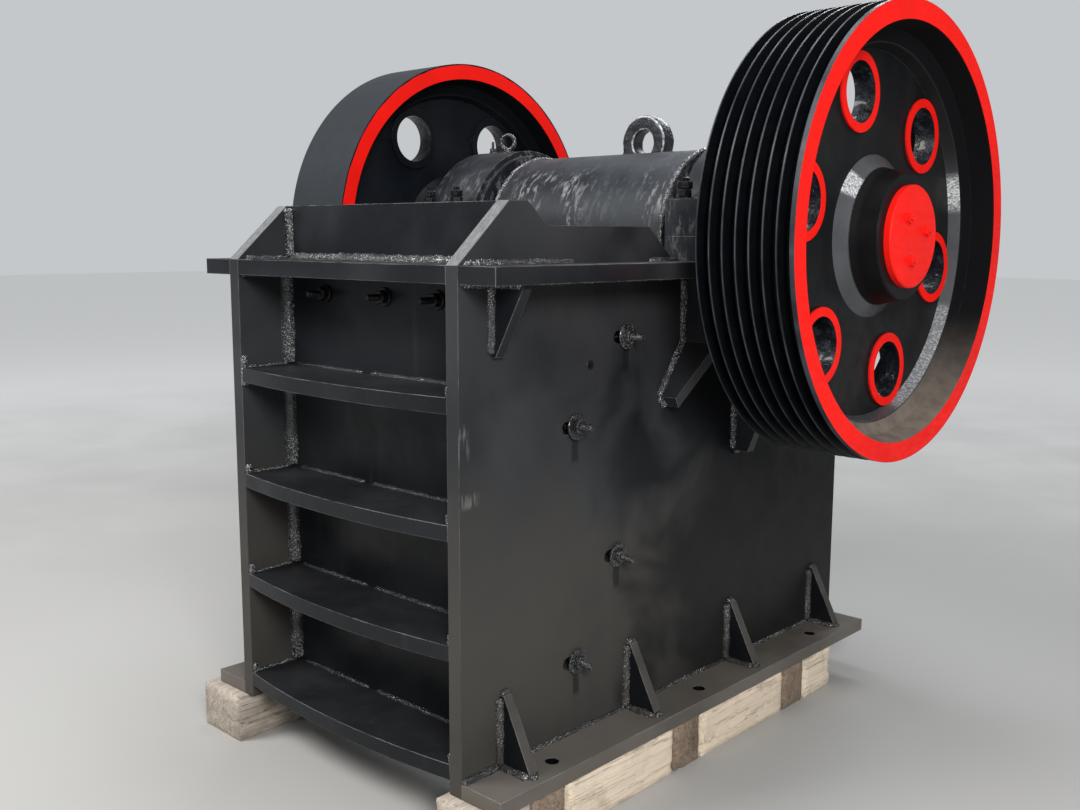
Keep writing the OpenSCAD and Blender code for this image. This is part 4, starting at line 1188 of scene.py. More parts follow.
class FastenerRecipe(GeometryRecipe):
    """Studs, nuts and bolts on points: a washer, chamfered nuts at their own turns and a threaded end."""

    SIZES = (("Seat radius", "Float", 0.020), ("Seat height", "Float", 0.0005), ("Shank length", "Float", 0.001),
             ("Washer radius", "Float", 0.024), ("Washer height", "Float", 0.004), ("Nut radius", "Float", 0.020),
             ("Nut height", "Float", 0.018), ("Nuts", "Int", 1), ("Stud radius", "Float", 0.011),
             ("Stud length", "Float", 0.016), ("Thread pitch", "Float", 0.003), ("Seed", "Int", 3),
             ("Facing", "Vector", (0.0, 0.0, 0.0)))
    NUT_STEP = 1.04

    def __init__(self, material: Material, name: str = "fasteners") -> None:
        """Builds the tree for one material."""
        super().__init__(name, self.SIZES)
        entry = self.entry
        base = self.plus(entry["Seat height"], entry["Washer height"])
        stack = self.plus(base, self.times(entry["Nut height"], self.times(entry["Nuts"], self.NUT_STEP)))
        whole = self.joined(*self.foot(), self.lift(self.nuts(), base), self.stud(stack))
        placed = self.out("GeometryNodeInstanceOnPoints", {
            "Points": entry["Geometry"], "Instance": whole, "Rotation": self.facing()})
        self.end(placed, material)

    def foot(self) -> tuple[Socket, ...]:
        """The seat, the shank below it and a washer with a bevelled rim."""
        entry = self.entry
        seat_r, seat_h, stud_r = entry["Seat radius"], entry["Seat height"], entry["Stud radius"]
        washer_r, shank = entry["Washer radius"], entry["Shank length"]
        rim, low = (self.times(entry["Washer height"], part) for part in (0.3, 0.7))
        return (self.disc(24, seat_r, seat_r, seat_h, 0.0),
                self.disc(16, stud_r, stud_r, self.plus(shank, seat_h), self.times(shank, -1.0)),
                self.lift(self.disc(36, washer_r, washer_r, low, 0.0), seat_h),
                self.lift(self.disc(36, washer_r, self.less(washer_r, rim), rim, low), seat_h))

    def nuts(self) -> Socket:
        """The nuts on top of each other, each at its own turn."""
        entry = self.entry
        step = self.upright(self.times(entry["Nut height"], self.NUT_STEP))
        line = self.out("GeometryNodeMeshLine", {"Count": entry["Nuts"], "Offset": step}, mode="OFFSET")
        return self.out("GeometryNodeInstanceOnPoints", {
            "Points": line, "Instance": self.nut(), "Rotation": self.any_turn(math.pi / 3, entry["Seed"])})

    def facing(self) -> Socket:
        """The way the whole points: as it faces, turned about itself, and leaned."""
        facing = self.out("FunctionNodeEulerToRotation", {0: self.entry["Facing"]})
        once = self.any_turn(math.pi, self.plus(self.entry["Seed"], 7.0))
        lean = self.out("FunctionNodeEulerToRotation", {0: self.stored("lean", "FLOAT_VECTOR")})
        for turn, space in ((once, "LOCAL"), (lean, "GLOBAL")):
            facing = self.out("FunctionNodeRotateRotation", {"Rotation": facing, "Rotate By": turn},
                              rotation_space=space)
        return facing

    def any_turn(self, most: float, seed: object) -> Socket:
        """A random rotation about z, up to that angle."""
        inputs = {"Min_001": 0.0, "Max_001": most, "Seed": seed}
        angle = self.add("FunctionNodeRandomValue", inputs, data_type="FLOAT").outputs[1]
        return self.out("FunctionNodeAxisAngleToRotation", {"Axis": (0.0, 0.0, 1.0), "Angle": angle})

    def joined(self, *parts: Socket) -> Socket:
        """Joins pieces of geometry."""
        join = self.add("GeometryNodeJoinGeometry")
        for part in parts:
            self.tree.links.new(part, join.inputs[0])
        return join.outputs[0]

    def upright(self, height: object) -> Socket:
        """A vector of that height along z."""
        return self.out("ShaderNodeCombineXYZ", {"Z": height})

    def lift(self, geometry: Socket, height: object) -> Socket:
        """Moves geometry up."""
        return self.out("GeometryNodeTransform", {"Geometry": geometry, "Translation": self.upright(height)})

    def disc(self, sides: int, low: object, high: object, height: object,
             base: object) -> Socket:
        """A closed prism or cone on z = base."""
        inputs = {"Vertices": sides, "Radius Bottom": low, "Radius Top": high, "Depth": height}
        return self.lift(self.out("GeometryNodeMeshCone", inputs, fill_type="NGON"), base)

    def nut(self) -> Socket:
        """A hexagonal nut with both ends chamfered."""
        radius, height = self.entry["Nut radius"], self.entry["Nut height"]
        narrow = self.times(radius, 0.88)
        slant, middle, upper = (self.times(height, part) for part in (0.14, 0.72, 0.86))
        return self.joined(self.disc(6, narrow, radius, slant, 0.0), self.disc(6, radius, radius, middle, slant),
                           self.disc(6, radius, narrow, slant, upper))

    def stud(self, start: object) -> Socket:
        """A stud's end with a rounded thread, standing on the nuts."""
        entry = self.entry
        ends = {"Start": self.upright(self.less(start, 0.004)),
                "End": self.upright(self.plus(start, entry["Stud length"]))}
        line = self.out("GeometryNodeCurvePrimitiveLine", ends, mode="POINTS")
        line = self.out("GeometryNodeResampleCurve", {
            "Curve": line, "Length": self.times(entry["Thread pitch"], 0.5)}, mode="LENGTH")
        along = self.add("GeometryNodeSplineParameter").outputs
        odd = self.math("MODULO", along["Index"], 2.0)
        tip = self.span(along["Factor"], 1.0, 0.9, (0.82, 1.0))
        girth = self.times(self.less(1.0, self.times(odd, 0.10)), tip)
        ring = self.out("GeometryNodeCurvePrimitiveCircle", {
            "Resolution": 16, "Radius": entry["Stud radius"]}, mode="RADIUS")
        return self.out("GeometryNodeCurveToMesh", {"Curve": line, "Profile Curve": ring, "Scale": girth,
                                                    "Fill Caps": True})


@dataclass(frozen=True)
class Fastener:
    """The sizes of one kind of fastener, in millimetres."""

    washer_r: float
    washer_t: float
    nut_r: float
    nut_h: float
    nuts: int
    stud_r: float
    stud_len: float
    pitch: float = 3.0
    seat_r: float = 10.0
    seat_h: float = 0.4
    shank: float = 1.0

    def inputs(self) -> dict[str, float | int]:
        """The sizes as the recipe's inputs, in metres."""
        lengths = {"Washer_radius": self.washer_r, "Washer_height": self.washer_t, "Nut_radius": self.nut_r,
                   "Nut_height": self.nut_h, "Stud_radius": self.stud_r, "Stud_length": self.stud_len,
                   "Thread_pitch": self.pitch, "Seat_radius": self.seat_r, "Seat_height": self.seat_h,
                   "Shank_length": self.shank}
        return {"Nuts": self.nuts, **{label: length * MM for label, length in lengths.items()}}


@dataclass
class BeadPaths:
    """Weld paths in machine millimetres, each with its bead's radius."""

    machine: Machine
    runs: list[tuple[list[Point], float]] = field(default_factory=list)

    def run(self, radius: float, *points: Point) -> None:
        """Adds a run through points."""
        self.runs.append((list(points), radius))

    def both(self, radius: float, *points: Point) -> None:
        """Adds a run and its mirror image on the other side."""
        self.run(radius, *points)
        self.run(radius, *[(-x, y, z) for x, y, z in points])

    def mesh(self, name: str, swell: float = 1.0) -> Mesh:
        """Makes the paths one mesh of edges with the bead size, times a factor, on its points."""
        verts: list[Vector] = []
        edges: list[tuple[int, int]] = []
        sizes: list[float] = []
        for points, radius in self.runs:
            first = len(verts)
            verts.extend(self.machine.point(*p) for p in points)
            edges.extend((first + i, first + i + 1) for i in range(len(points) - 1))
            sizes.extend([radius * swell * MM] * len(points))
        mesh = bpy.data.meshes.new(name)
        mesh.from_pydata(verts, edges, [])
        mesh.attributes.new("bead", "FLOAT", "POINT").data.foreach_set("value", sizes)
        return mesh


def point_mesh(name: str, points: Sequence[Vector], leans: Sequence[Point] = ()) -> Mesh:
    """A mesh of loose points, each with the turn by which its fastener leans."""
    mesh = bpy.data.meshes.new(name)
    mesh.from_pydata(list(points), [], [])
    turns = [angle for lean in (leans or [(0.0, 0.0, 0.0)] * len(points)) for angle in lean]
    mesh.attributes.new("lean", "FLOAT_VECTOR", "POINT").data.foreach_set("vector", turns)
    return mesh


# Sub-assemblies


@dataclass
class PlateFrame:
    """The welded plate frame: its paint and the studs of the cheek plates and of the fixed jaw."""

    shop: Workshop
    cheek_studs: Sequence[Pair] = ((597, 1063), (399, 847), (570, 482), (409, 229))
    cheek_droop: Sequence[float] = (-1.0, -4.0, 8.0, 5.0)
    front_stud_x: Sequence[float] = (-241, 13, 217)
    front_stud_z: float = 1164
    plug_place: Pair = (454, 999)
    plug_r: float = 13
    scuffs: Sequence[tuple[float, float, float, float]] = ((30, 718, 42, 24), (14, 856, 24, 50))
    stud: Fastener = Fastener(34, 5, 19.5, 13, 1, 9, 34, seat_r=26, seat_h=4, shank=34)
    front_stud: Fastener = Fastener(25, 6, 19.5, 17, 1, 9, 37)
    rear_stud: Fastener = Fastener(26, 5, 20.5, 18, 2, 12, 16)
    rear_stud_x: Sequence[float] = (-330, 330)
    rear_stud_z: Sequence[float] = (390, 515)
    plain_nodes: Sequence[str] = (
        "feed_lip", "top_flange_front", "top_flange_left", "top_flange_right", "support_ribs_left",
        "support_ribs_right", "rear_wall", "rear_ribs", "jaw_support_bar", "block_rails")
    front_nodes: Sequence[str] = ("front_wall", "front_rib_1", "front_rib_2", "front_rib_3", "front_rib_bottom")
    # painted shade: a darker copy of the plate paint for the front wall and its ribs, in the bays under the
    # flange
    front_shaded_paint: PlatePaint = PlatePaint(
        "front_shaded_paint", deep=(0.0045, 0.0056, 0.0076), lit=(0.015, 0.017, 0.0205), shine=0.17, dust_amount=0.08)
    # painted shadow: a near-black copy of the plate paint on the gussets' flat faces; the slopes lightened as
    # dust and painted light
    gusset_paint: PlatePaint = PlatePaint(
        "gusset_paint", deep=(0.0035, 0.0040, 0.0050), lit=(0.010, 0.011, 0.0125), dust=(0.088, 0.082, 0.074),
        dust_amount=0.95, dust_slope=(0.30, 0.42), shine=0.15)

    def build(self, fasteners: FastenerRecipe) -> None:
        """Paints the frame and sets its studs.

        Args:
            fasteners: The recipe that makes studs.
        """
        machine = self.shop.machine
        plate = machine.span("side_plate_right").high.x
        self.paint(plate)
        for side in Side:
            places = [machine.point(side.value * plate, y, z) for y, z in self.cheek_studs]
            leans = [(0.0, math.radians(side.value * droop), 0.0) for droop in self.cheek_droop]
            self.shop.fasten(fasteners, f"cheek_studs_{side.word}", places, self.stud, side.facing,
                             5 + side.value, leans=leans)
        wall = machine.span("front_wall").low.y
        places = [machine.point(x, wall, self.front_stud_z) for x in self.front_stud_x]
        self.shop.fasten(fasteners, "fixed_jaw_studs", places, self.front_stud, Facing.FRONT, 11,
                         self.shop.dark_bolt)
        rear = machine.span("rear_wall").high.y
        places = [machine.point(x, rear, z) for x in self.rear_stud_x for z in self.rear_stud_z]
        self.shop.fasten(fasteners, "block_studs", places, self.rear_stud, Facing.REAR, 13)
        self.shop.add("side_plate_plug", self.plug(plate), self.shop.paint, Body.FRAME, "frame_paint")

    def paint(self, plate: float) -> None:
        """Paints the frame's nodes; plate is the side plates' outer face."""
        # dust and painted floor-bounce light: the base flanges' paint is far lighter than the other plates
        flange_paint = PlatePaint(
            "base_flange_paint", deep=(0.085, 0.076, 0.067), lit=(0.150, 0.135, 0.119),
            dust=(0.125, 0.112, 0.097), dust_amount=0.45, holes=self.shop.machine.anchor_holes())
        self.shop.dress(self.plain_nodes, self.shop.paint)
        self.shop.dress(self.front_nodes, self.front_shaded_paint)
        for kind, finish in (("side_plate", PlatePaint("side_plate_paint", shine=0.085, marks=self.marks(plate))),
                             ("base_flange", flange_paint), ("base_gussets", self.gusset_paint)):
            self.shop.dress([f"{kind}_{side.word}" for side in Side], finish)

    def marks(self, plate: float) -> PlateMarks:
        """The side plates' marks, placed by their studs."""
        point = self.shop.machine.point
        studs = tuple(tuple(point(0, y, z).yz) for y, z in self.cheek_studs)
        scuffs = tuple((*point(0, y, z).yz, half_y * MM, half_z * MM) for y, z, half_y, half_z in self.scuffs)
        return PlateMarks(plate_x=plate * MM, studs=studs, streak_w=0.016, streak_len=0.100, scuffs=scuffs,
                          sheen_y=(point(0, 960, 0).y, point(0, 420, 0).y),
                          bounce_z=(point(0, 0, 760).z, point(0, 0, 380).z))

    def plug(self, plate: float) -> Mesh:
        """A filled hole in the right side plate: a shallow disc with a dished middle."""
        shape = bmesh.new()
        y, z = self.plug_place
        profile = ((-2.0, 1.0), (1.2, 1.0), (1.8, 0.86), (0.9, 0.55), (0.6, 0.2))
        columns = 28

        def place(i: int, j: int) -> Vector:
            """The point of ring i and column j."""
            out, reach = profile[i]
            turn = 2 * math.pi * j / columns
            across, up = self.plug_r * reach * math.cos(turn), self.plug_r * reach * math.sin(turn)
            return self.shop.machine.point(plate + out, y + across, z + up)

        add_grid_tube(shape, len(profile), columns, place, False)
        return mesh_from_bmesh("side_plate_plug", shape, 50)


@dataclass
class FrameWelds:
    """Every weld bead of the frame, drawn along the joints between its plates."""

    shop: Workshop
    corner_r: float = 26
    swell: float = 1.17
    rib_tops: Sequence[float] = (958, 660, 370, 75)
    rib_t: float = 39
    gusset_y: Sequence[float] = (128, 618, 1108, 1598)
    gusset_t: float = 29
    gusset_foot: float = 101
    gusset_top: float = 221
    base_top: float = 37
    flange_low: float = 1214
    flange_top: float = 1256
    plate_in: float = 420
    plate_out: float = 460
    wall_y: float = 160
    lip_y: float = 172
    lip_top: float = 1403
    housing_r: float = 287
    rib_front_y: float = 848
    rib_back_y: float = 877
    bend_z: float = 1020
    rib_end: Pair = (743, 875)
    middle_rib_y: float = 1114
    middle_rib_z: float = 691
    rear_y: float = 1584
    rear_ribs_z: Sequence[float] = (39, 679, 930)
    bracket_y: Sequence[float] = (103, 132)
    bracket_low: Sequence[float] = (1052, 1050)
    lip_end_y: float = 388
    ear_y: Sequence[float] = (690, 812)
    housing_y: Sequence[float] = (870, 1450)
    plate_end: float = 1744
    arc: Sequence[int] = (-158, -21, 4)
    post_x: float = 252
    post_half: float = 14.5
    post_z: Sequence[Sequence[float]] = ((39, 279), (401, 640))
    painted_over: BeadPaint = BeadPaint(
        "rib_bead_paint", lit=(0.030, 0.033, 0.038), glints=0.30, roughness=0.24, rare=0.64)
    dusty: BeadPaint = BeadPaint(
        "gusset_bead_paint", deep=(0.026, 0.0255, 0.025), lit=(0.105, 0.102, 0.096), glints=0.45,
        roughness=0.26, lump_scale=150.0, depth=0.0030, rare=0.60, gloss=0.6)

    def build(self, beads: BeadRecipe) -> None:
        """Draws all beads.

        Args:
            beads: The recipe that makes beads.
        """
        groups = {"welds_front": self.front(), "welds_right": self.side(Side.RIGHT),
                  "welds_left": self.side(Side.LEFT), "welds_rear": self.rear(), "welds_ribs": self.ribs(),
                  "welds_gussets": self.gussets()}
        for seed, (name, paths) in enumerate(groups.items()):
            mesh = beads.run(name, paths.mesh(f"{name}_paths", self.swell), Seed=float(seed + 1))
            finish = {"welds_ribs": self.painted_over, "welds_gussets": self.dusty}.get(name)
            self.shop.add(name, mesh, finish, Body.FRAME, "frame_paint")

    def front(self) -> BeadPaths:
        """Beads of the front wall, its ribs and the lip."""
        paths = BeadPaths(self.shop.machine)
        x, wall = self.plate_in, self.wall_y
        paths.run(14, (-x + 2, wall + 10, self.flange_top), (x - 2, wall + 10, self.flange_top))
        paths.run(8, (-x + 2, self.lip_y + 28, self.flange_top), (x - 2, self.lip_y + 28, self.flange_top))
        paths.both(14, (x, self.lip_y, self.flange_top + 4), (x, self.lip_y, self.lip_top - 6))
        paths.both(9, (x, 24, self.flange_top), (x, 156, self.flange_top))
        paths.run(9, (-x + 4, 8, self.rib_tops[0] - self.rib_t - 12), (-x + 4, 8, self.rib_tops[0] + 34))
        upper = self.flange_low
        for top in self.rib_tops:
            paths.both(self.corner_r / self.swell, (x, wall, top + 4), (x, wall, upper - 4))
            upper = top - self.rib_t
            paths.both(6, (x, 12, top), (x, wall - 12, top))
            paths.both(7, (x - 5, 9, top - 4), (x - 4, 9, top + 26))
        paths.run(6, (-x + 8, wall, self.flange_low), (x - 8, wall, self.flange_low))
        paths.both(6, (x, 10, self.flange_low), (x, wall - 6, self.flange_low))
        return paths

    def ribs(self) -> BeadPaths:
        """The thin painted-over beads between the front wall and its ribs, broken off here and there."""
        paths = BeadPaths(self.shop.machine)
        x, wall = self.plate_in, self.wall_y
        for top in self.rib_tops:
            paths.run(6, (-x + 36, wall, top), (-x * 0.2, wall, top))
            paths.run(7, (-x * 0.12, wall, top), (x - 26, wall, top))
            paths.run(6, (-x + 8, wall, top - self.rib_t), (x - 8, wall, top - self.rib_t))
        return paths

    def gussets(self) -> BeadPaths:
        """Beads round the base gussets of both sides."""
        paths = BeadPaths(self.shop.machine)
        for side in Side:
            for y in self.gusset_y:
                self.gusset_beads(partial(self.mirrored, paths, side.value), y)
        return paths

    @staticmethod
    def mirrored(paths: BeadPaths, sign: int, radius: float, *points: Point) -> None:
        """Adds a run of the right side, or its mirror image on the left."""
        paths.run(radius, *[(sign * px, py, pz) for px, py, pz in points])

    def side(self, side: Side) -> BeadPaths:
        """Beads on the outside of one side plate."""
        paths = BeadPaths(self.shop.machine)
        plate = self.plate_out
        run = partial(self.mirrored, paths, side.value)
        top, low = self.flange_top, self.flange_low
        run(11, (plate, 15, top), (plate, self.lip_end_y, top))
        run(9, *[(plate, y, top) for y in self.ear_y])
        run(8, (plate, 6, low), (plate, self.housing_y[0], low))
        run(8, (plate, self.housing_y[1], low), (plate, self.plate_end, low))
        for radius, y, end in zip((12, 9), self.bracket_y, self.bracket_low):
            run(radius, (plate, y, low - 4), (plate, y, end))
        run(9, (plate + 8, self.bracket_y[0], low), (plate + 96, self.bracket_y[0], low))
        run(12, (plate, 2, self.base_top), (plate, 120, self.base_top))
        for i, y in enumerate(self.gusset_y):
            following = self.gusset_y[i + 1] if i + 1 < len(self.gusset_y) else self.plate_end - 8
            run(7, (plate, y + self.gusset_t + 6, self.base_top), (plate, following - 6, self.base_top))
        self.support_beads(run)
        run(9, *[(plate, *spot) for spot in self.shop.machine.about_shaft(self.housing_r, self.arc)])
        return paths

    def gusset_beads(self, run: Callable[..., None], y: float) -> None:
        """Beads round one base gusset."""
        plate, foot = self.plate_out, self.base_top
        back = y + self.gusset_t
        run(12, (plate, y, foot + 4), (plate, y, self.gusset_top - 6))
        run(11, (plate + 6, y, foot), (plate + self.gusset_foot - 2, y, foot))
        run(9, (plate, back, foot + 4), (plate, back, self.gusset_top - 6))
        run(9, (plate + 6, back, foot), (plate + self.gusset_foot - 2, back, foot))
        run(9, (plate + self.gusset_foot, y + 2, foot), (plate + self.gusset_foot, back - 2, foot))
        run(10, (plate + 2, y + 2, self.gusset_top), (plate + 2, back - 2, self.gusset_top))

    def support_beads(self, run: Callable[..., None]) -> None:
        """Beads round the bent front rib and the middle rib under one housing."""
        plate = self.plate_out
        end_y, end_z = self.rib_end
        run(11, (plate, self.rib_front_y, self.flange_low - 4), (plate, self.rib_front_y, self.bend_z + 14),
            (plate, end_y, end_z + 14))
        run(9, (plate, self.rib_back_y, self.flange_low - 4), (plate, self.rib_back_y, self.bend_z - 14),
            (plate, end_y + self.gusset_t, end_z - 14))
        run(10, (plate, end_y + 2, end_z + 12), (plate, end_y + self.gusset_t, end_z - 14))
        middle, low = self.middle_rib_y, self.middle_rib_z
        run(11, (plate, middle, low + 4), (plate, middle, 1044))
        back = middle + self.gusset_t
        run(9, (plate, back, low + 4), (plate, back, 1040))
        run(10, (plate + 2, middle + 2, low), (plate + 2, back - 2, low))

    def rear(self) -> BeadPaths:
        """Beads of the rear wall and its ribs."""
        paths = BeadPaths(self.shop.machine)
        x, wall = self.plate_in, self.rear_y
        lows = [0.0, *self.rear_ribs_z]
        for low, top in zip(lows, self.rear_ribs_z):
            paths.both(15, (x, wall, low + 4), (x, wall, max(low + 8, top - 44)))
            paths.both(8, (x, wall + 6, top), (x, self.plate_end, top))
            paths.run(8, (-x + 10, wall, top), (x - 10, wall, top))
        for side in (-1, 1):
            post = side * self.post_x
            for low, high in self.post_z:
                for edge in (-self.post_half, self.post_half):
                    paths.run(7, (post + edge, wall, low + 4), (post + edge, wall, high - 4))
        return paths


@dataclass
class Bearings:
    """Both split bearing housings: paint, cap studs with double nuts, and the lifting eyebolt on each cap."""

    shop: Workshop
    stud_x: Sequence[float] = (457, 585)
    stud_y: Sequence[float] = (850, 1468)
    foot_top: float = 1423
    cap_stud: Fastener = Fastener(25, 4, 20.5, 21, 2, 12, 10)
    nipple: Fastener = Fastener(13, 4, 11, 13, 1, 5, 22, 1.5)
    nipple_off: float = 74
    eye_x: float = 516
    eye_y: float = 1150
    eye_reach: float = 25
    eye_wire: float = 6.5
    eye_turn: float = 20
    crest: float = 1610
    eye_rise: float = 33

    def build(self, fasteners: FastenerRecipe, castings: CastPaint) -> None:
        """Dresses the housings and sets their small parts.

        Args:
            fasteners: The recipe that makes studs.
            castings: The finish of the housings.
        """
        for side in Side:
            nodes = (f"bearing_housing_{side.word}", f"bearing_cap_{side.word}")
            self.shop.dress(nodes, castings)
            machine = self.shop.machine
            places = [machine.point(side.value * x, y, self.foot_top) for x in self.stud_x for y in self.stud_y]
            self.shop.fasten(fasteners, f"cap_studs_{side.word}", places, self.cap_stud, Facing.UP,
                             21 + side.value, self.shop.dark_bolt)
            place = machine.point(side.value * (self.eye_x + self.nipple_off), self.eye_y, self.crest - 1)
            self.shop.fasten(fasteners, f"cap_nipple_{side.word}", [place], self.nipple, Facing.UP, 4)
            self.shop.add(f"cap_eyebolt_{side.word}", self.eyebolt(side), self.shop.bolt, Body.FRAME,
                          "frame_paint")

    def eyebolt(self, side: Side) -> Mesh:
        """A forged ring on a flanged neck."""
        shape = bmesh.new()
        centre = Vector((side.value * self.eye_x, self.eye_y, self.crest + self.eye_rise))
        turn = math.radians(self.eye_turn)
        level = Vector((math.cos(turn), math.sin(turn), 0.0))
        up = Vector((0.0, 0.0, 1.0))
        across = level.cross(up)
        rows, columns = 40, 14

        def ring(i: int, j: int) -> Vector:
            """The point of the ring's section i and column j."""
            a, b = 2 * math.pi * i / rows, 2 * math.pi * j / columns
            out = level * math.cos(a) + up * math.sin(a)
            wire = self.eye_wire * (1.0 + 0.22 * max(0.0, -math.sin(a)))
            spot = centre + out * (self.eye_reach + wire * math.cos(b)) + across * wire * math.sin(b)
            return self.shop.machine.point(*spot)

        add_grid_tube(shape, rows, columns, ring, True)
        neck = ((-2.0, 20.0), (3.5, 20.0), (5.0, 18.0), (5.5, 9.5), (7.0, 8.0), (10.0, 8.5))

        def post(i: int, j: int) -> Vector:
            """The point of the neck's ring i and column j."""
            height, radius = neck[i]
            b = 2 * math.pi * j / 24
            return self.shop.machine.point(centre.x + radius * math.cos(b), centre.y + radius * math.sin(b),
                                           self.crest + height)

        add_grid_tube(shape, len(neck), 24, post, False)
        return mesh_from_bmesh(f"cap_eyebolt_{side.word}", shape, 40)


@dataclass
class Wheels:
    """The grooved drive wheel and the flywheel: paint, rough cast hole linings and the bolted end covers."""

    shop: Workshop
    rim_in: float = 699
    rim_out: float = 970
    rim_inner: float = 548
    ring_circle: float = 386
    hole_r: float = 79
    ring_w: float = 24
    root_low: float = 488
    root_high: float = 500.5
    hub_r: float = 166
    web_out: float = 855
    web_in: float = 813
    ring_h: float = 9
    drive_turn: float = 106.8
    fly_turn: float = 119.0
    # turns in degrees of the painted highlights on the root and hub chamfers
    glare_root: Pair = (12.0, 18.5)
    glare_hub: Pair = (130.0, 145.0)
    highlit_root: Pair = (-71.0, -27.0)
    cover_bolt_circle: float = 66
    cover_bolt_turns: Sequence[float] = (14, 134, 254)
    cover_bolt: Fastener = Fastener(15, 2.5, 13.5, 10, 1, 7.5, 6, 2)
    rough_skin: BeadPaint = BeadPaint(
        "hole_skin", deep=(0.005, 0.006, 0.009), lit=(0.030, 0.036, 0.048), glints=0.25, roughness=0.30,
        lump_scale=45.0, depth=0.005, rare=0.70, gloss=0.35)
    lining_depth: float = 5.0

    def build(self, cover_bolts: FastenerRecipe) -> None:
        """Dresses both wheels and their covers.

        Args:
            cover_bolts: The recipe that makes the covers' painted bolts.
        """
        machine = self.shop.machine
        red = RedPaint()
        for side, node, turn in ((Side.RIGHT, "drive_wheel", self.drive_turn),
                                 (Side.LEFT, "flywheel", self.fly_turn)):
            self.shop.dress((node,), self.paint(side, node, turn))
            name = f"hole_lining_{side.word}"
            self.shop.add(name, self.lining(name, side, turn), self.rough_skin, Body.ROTOR, "wheel_paint")
            cover = f"end_cover_{side.word}"
            self.shop.dress((cover,), red)
            face = machine.span(cover)
            face_x = face.high.x if side is Side.RIGHT else face.low.x
            turns = [math.radians(t) for t in self.cover_bolt_turns]
            places = [machine.point(face_x, machine.shaft_y + self.cover_bolt_circle * math.cos(t),
                                    machine.shaft_z + self.cover_bolt_circle * math.sin(t)) for t in turns]
            self.shop.fasten(cover_bolts, f"cover_bolts_{side.word}", places, self.cover_bolt, side.facing, 31,
                             body=Body.ROTOR, slot="red_paint")

    def paint(self, side: Side, node: str, turn: float) -> WheelPaint:
        """The paint of one wheel, with its masks in the frame's metres."""
        machine = self.shop.machine
        axis = machine.point(0.0, machine.shaft_y, machine.shaft_z)
        tint = {} if side is Side.RIGHT else {"deep": (0.0036, 0.0050, 0.0080), "lit": (0.011, 0.0135, 0.018)}
        return WheelPaint(
            name=f"{node}_paint", axis_y=axis.y, axis_z=axis.z, outer_x=self.rim_out * MM,
            inner_x=self.rim_in * MM, web_x=self.web_out * MM, side=side.value, rim_inner=self.rim_inner * MM,
            ring_circle=self.ring_circle * MM, ring_inner=self.hole_r * MM,
            ring_outer=(self.hole_r + self.ring_w) * MM, root_low=self.root_low * MM,
            root_high=self.root_high * MM, hub_radius=self.hub_r * MM, hole_turn=turn,
            grooved=side is Side.RIGHT, glare_root=self.glare_root, glare_hub=self.glare_hub,
            highlit_root=self.highlit_root, **tint)

    def lining(self, name: str, side: Side, turn: float) -> Mesh:
        """The rough cast skin inside the six holes, thick and thin as the mould left it."""
        shape = bmesh.new()
        machine = self.shop.machine
        rows, columns = 13, 64
        low, high = self.web_in - self.ring_h + 0.8, self.web_out + self.ring_h - 0.8
        for hole in range(6):
            angle = math.radians(turn - 60 * hole)
            cy = machine.shaft_y + self.ring_circle * math.cos(angle)
            cz = machine.shaft_z + self.ring_circle * math.sin(angle)

            def place(i: int, j: int, cy: float = cy, cz: float = cz) -> Vector:
                """The point of ring i and column j; the last half of the rings runs back inside the metal."""
                inside = i < rows
                k = i if inside else 2 * rows - 1 - i
                x = low + (high - low) * k / (rows - 1)
                t = 2 * math.pi * j / columns
                radius = self.hole_r + 1.2
                if inside:
                    seed = Vector((x * 0.035, (cy + 90 * math.cos(t)) * 0.035, (cz + 90 * math.sin(t)) * 0.035))
                    lump = 0.5 + 0.5 * noise.fractal(seed, 1.0, 2.0, 3)
                    rim = min(1.0, 2.2 * min(k, rows - 1 - k) / (rows - 1) + 0.12)
                    radius = self.hole_r - self.lining_depth * max(0.0, min(1.0, lump)) * rim
                return machine.point(side.value * x, cy + radius * math.cos(t), cz + radius * math.sin(t))

            add_grid_tube(shape, 2 * rows, columns, place, True)
        return mesh_from_bmesh(name, shape, 60)


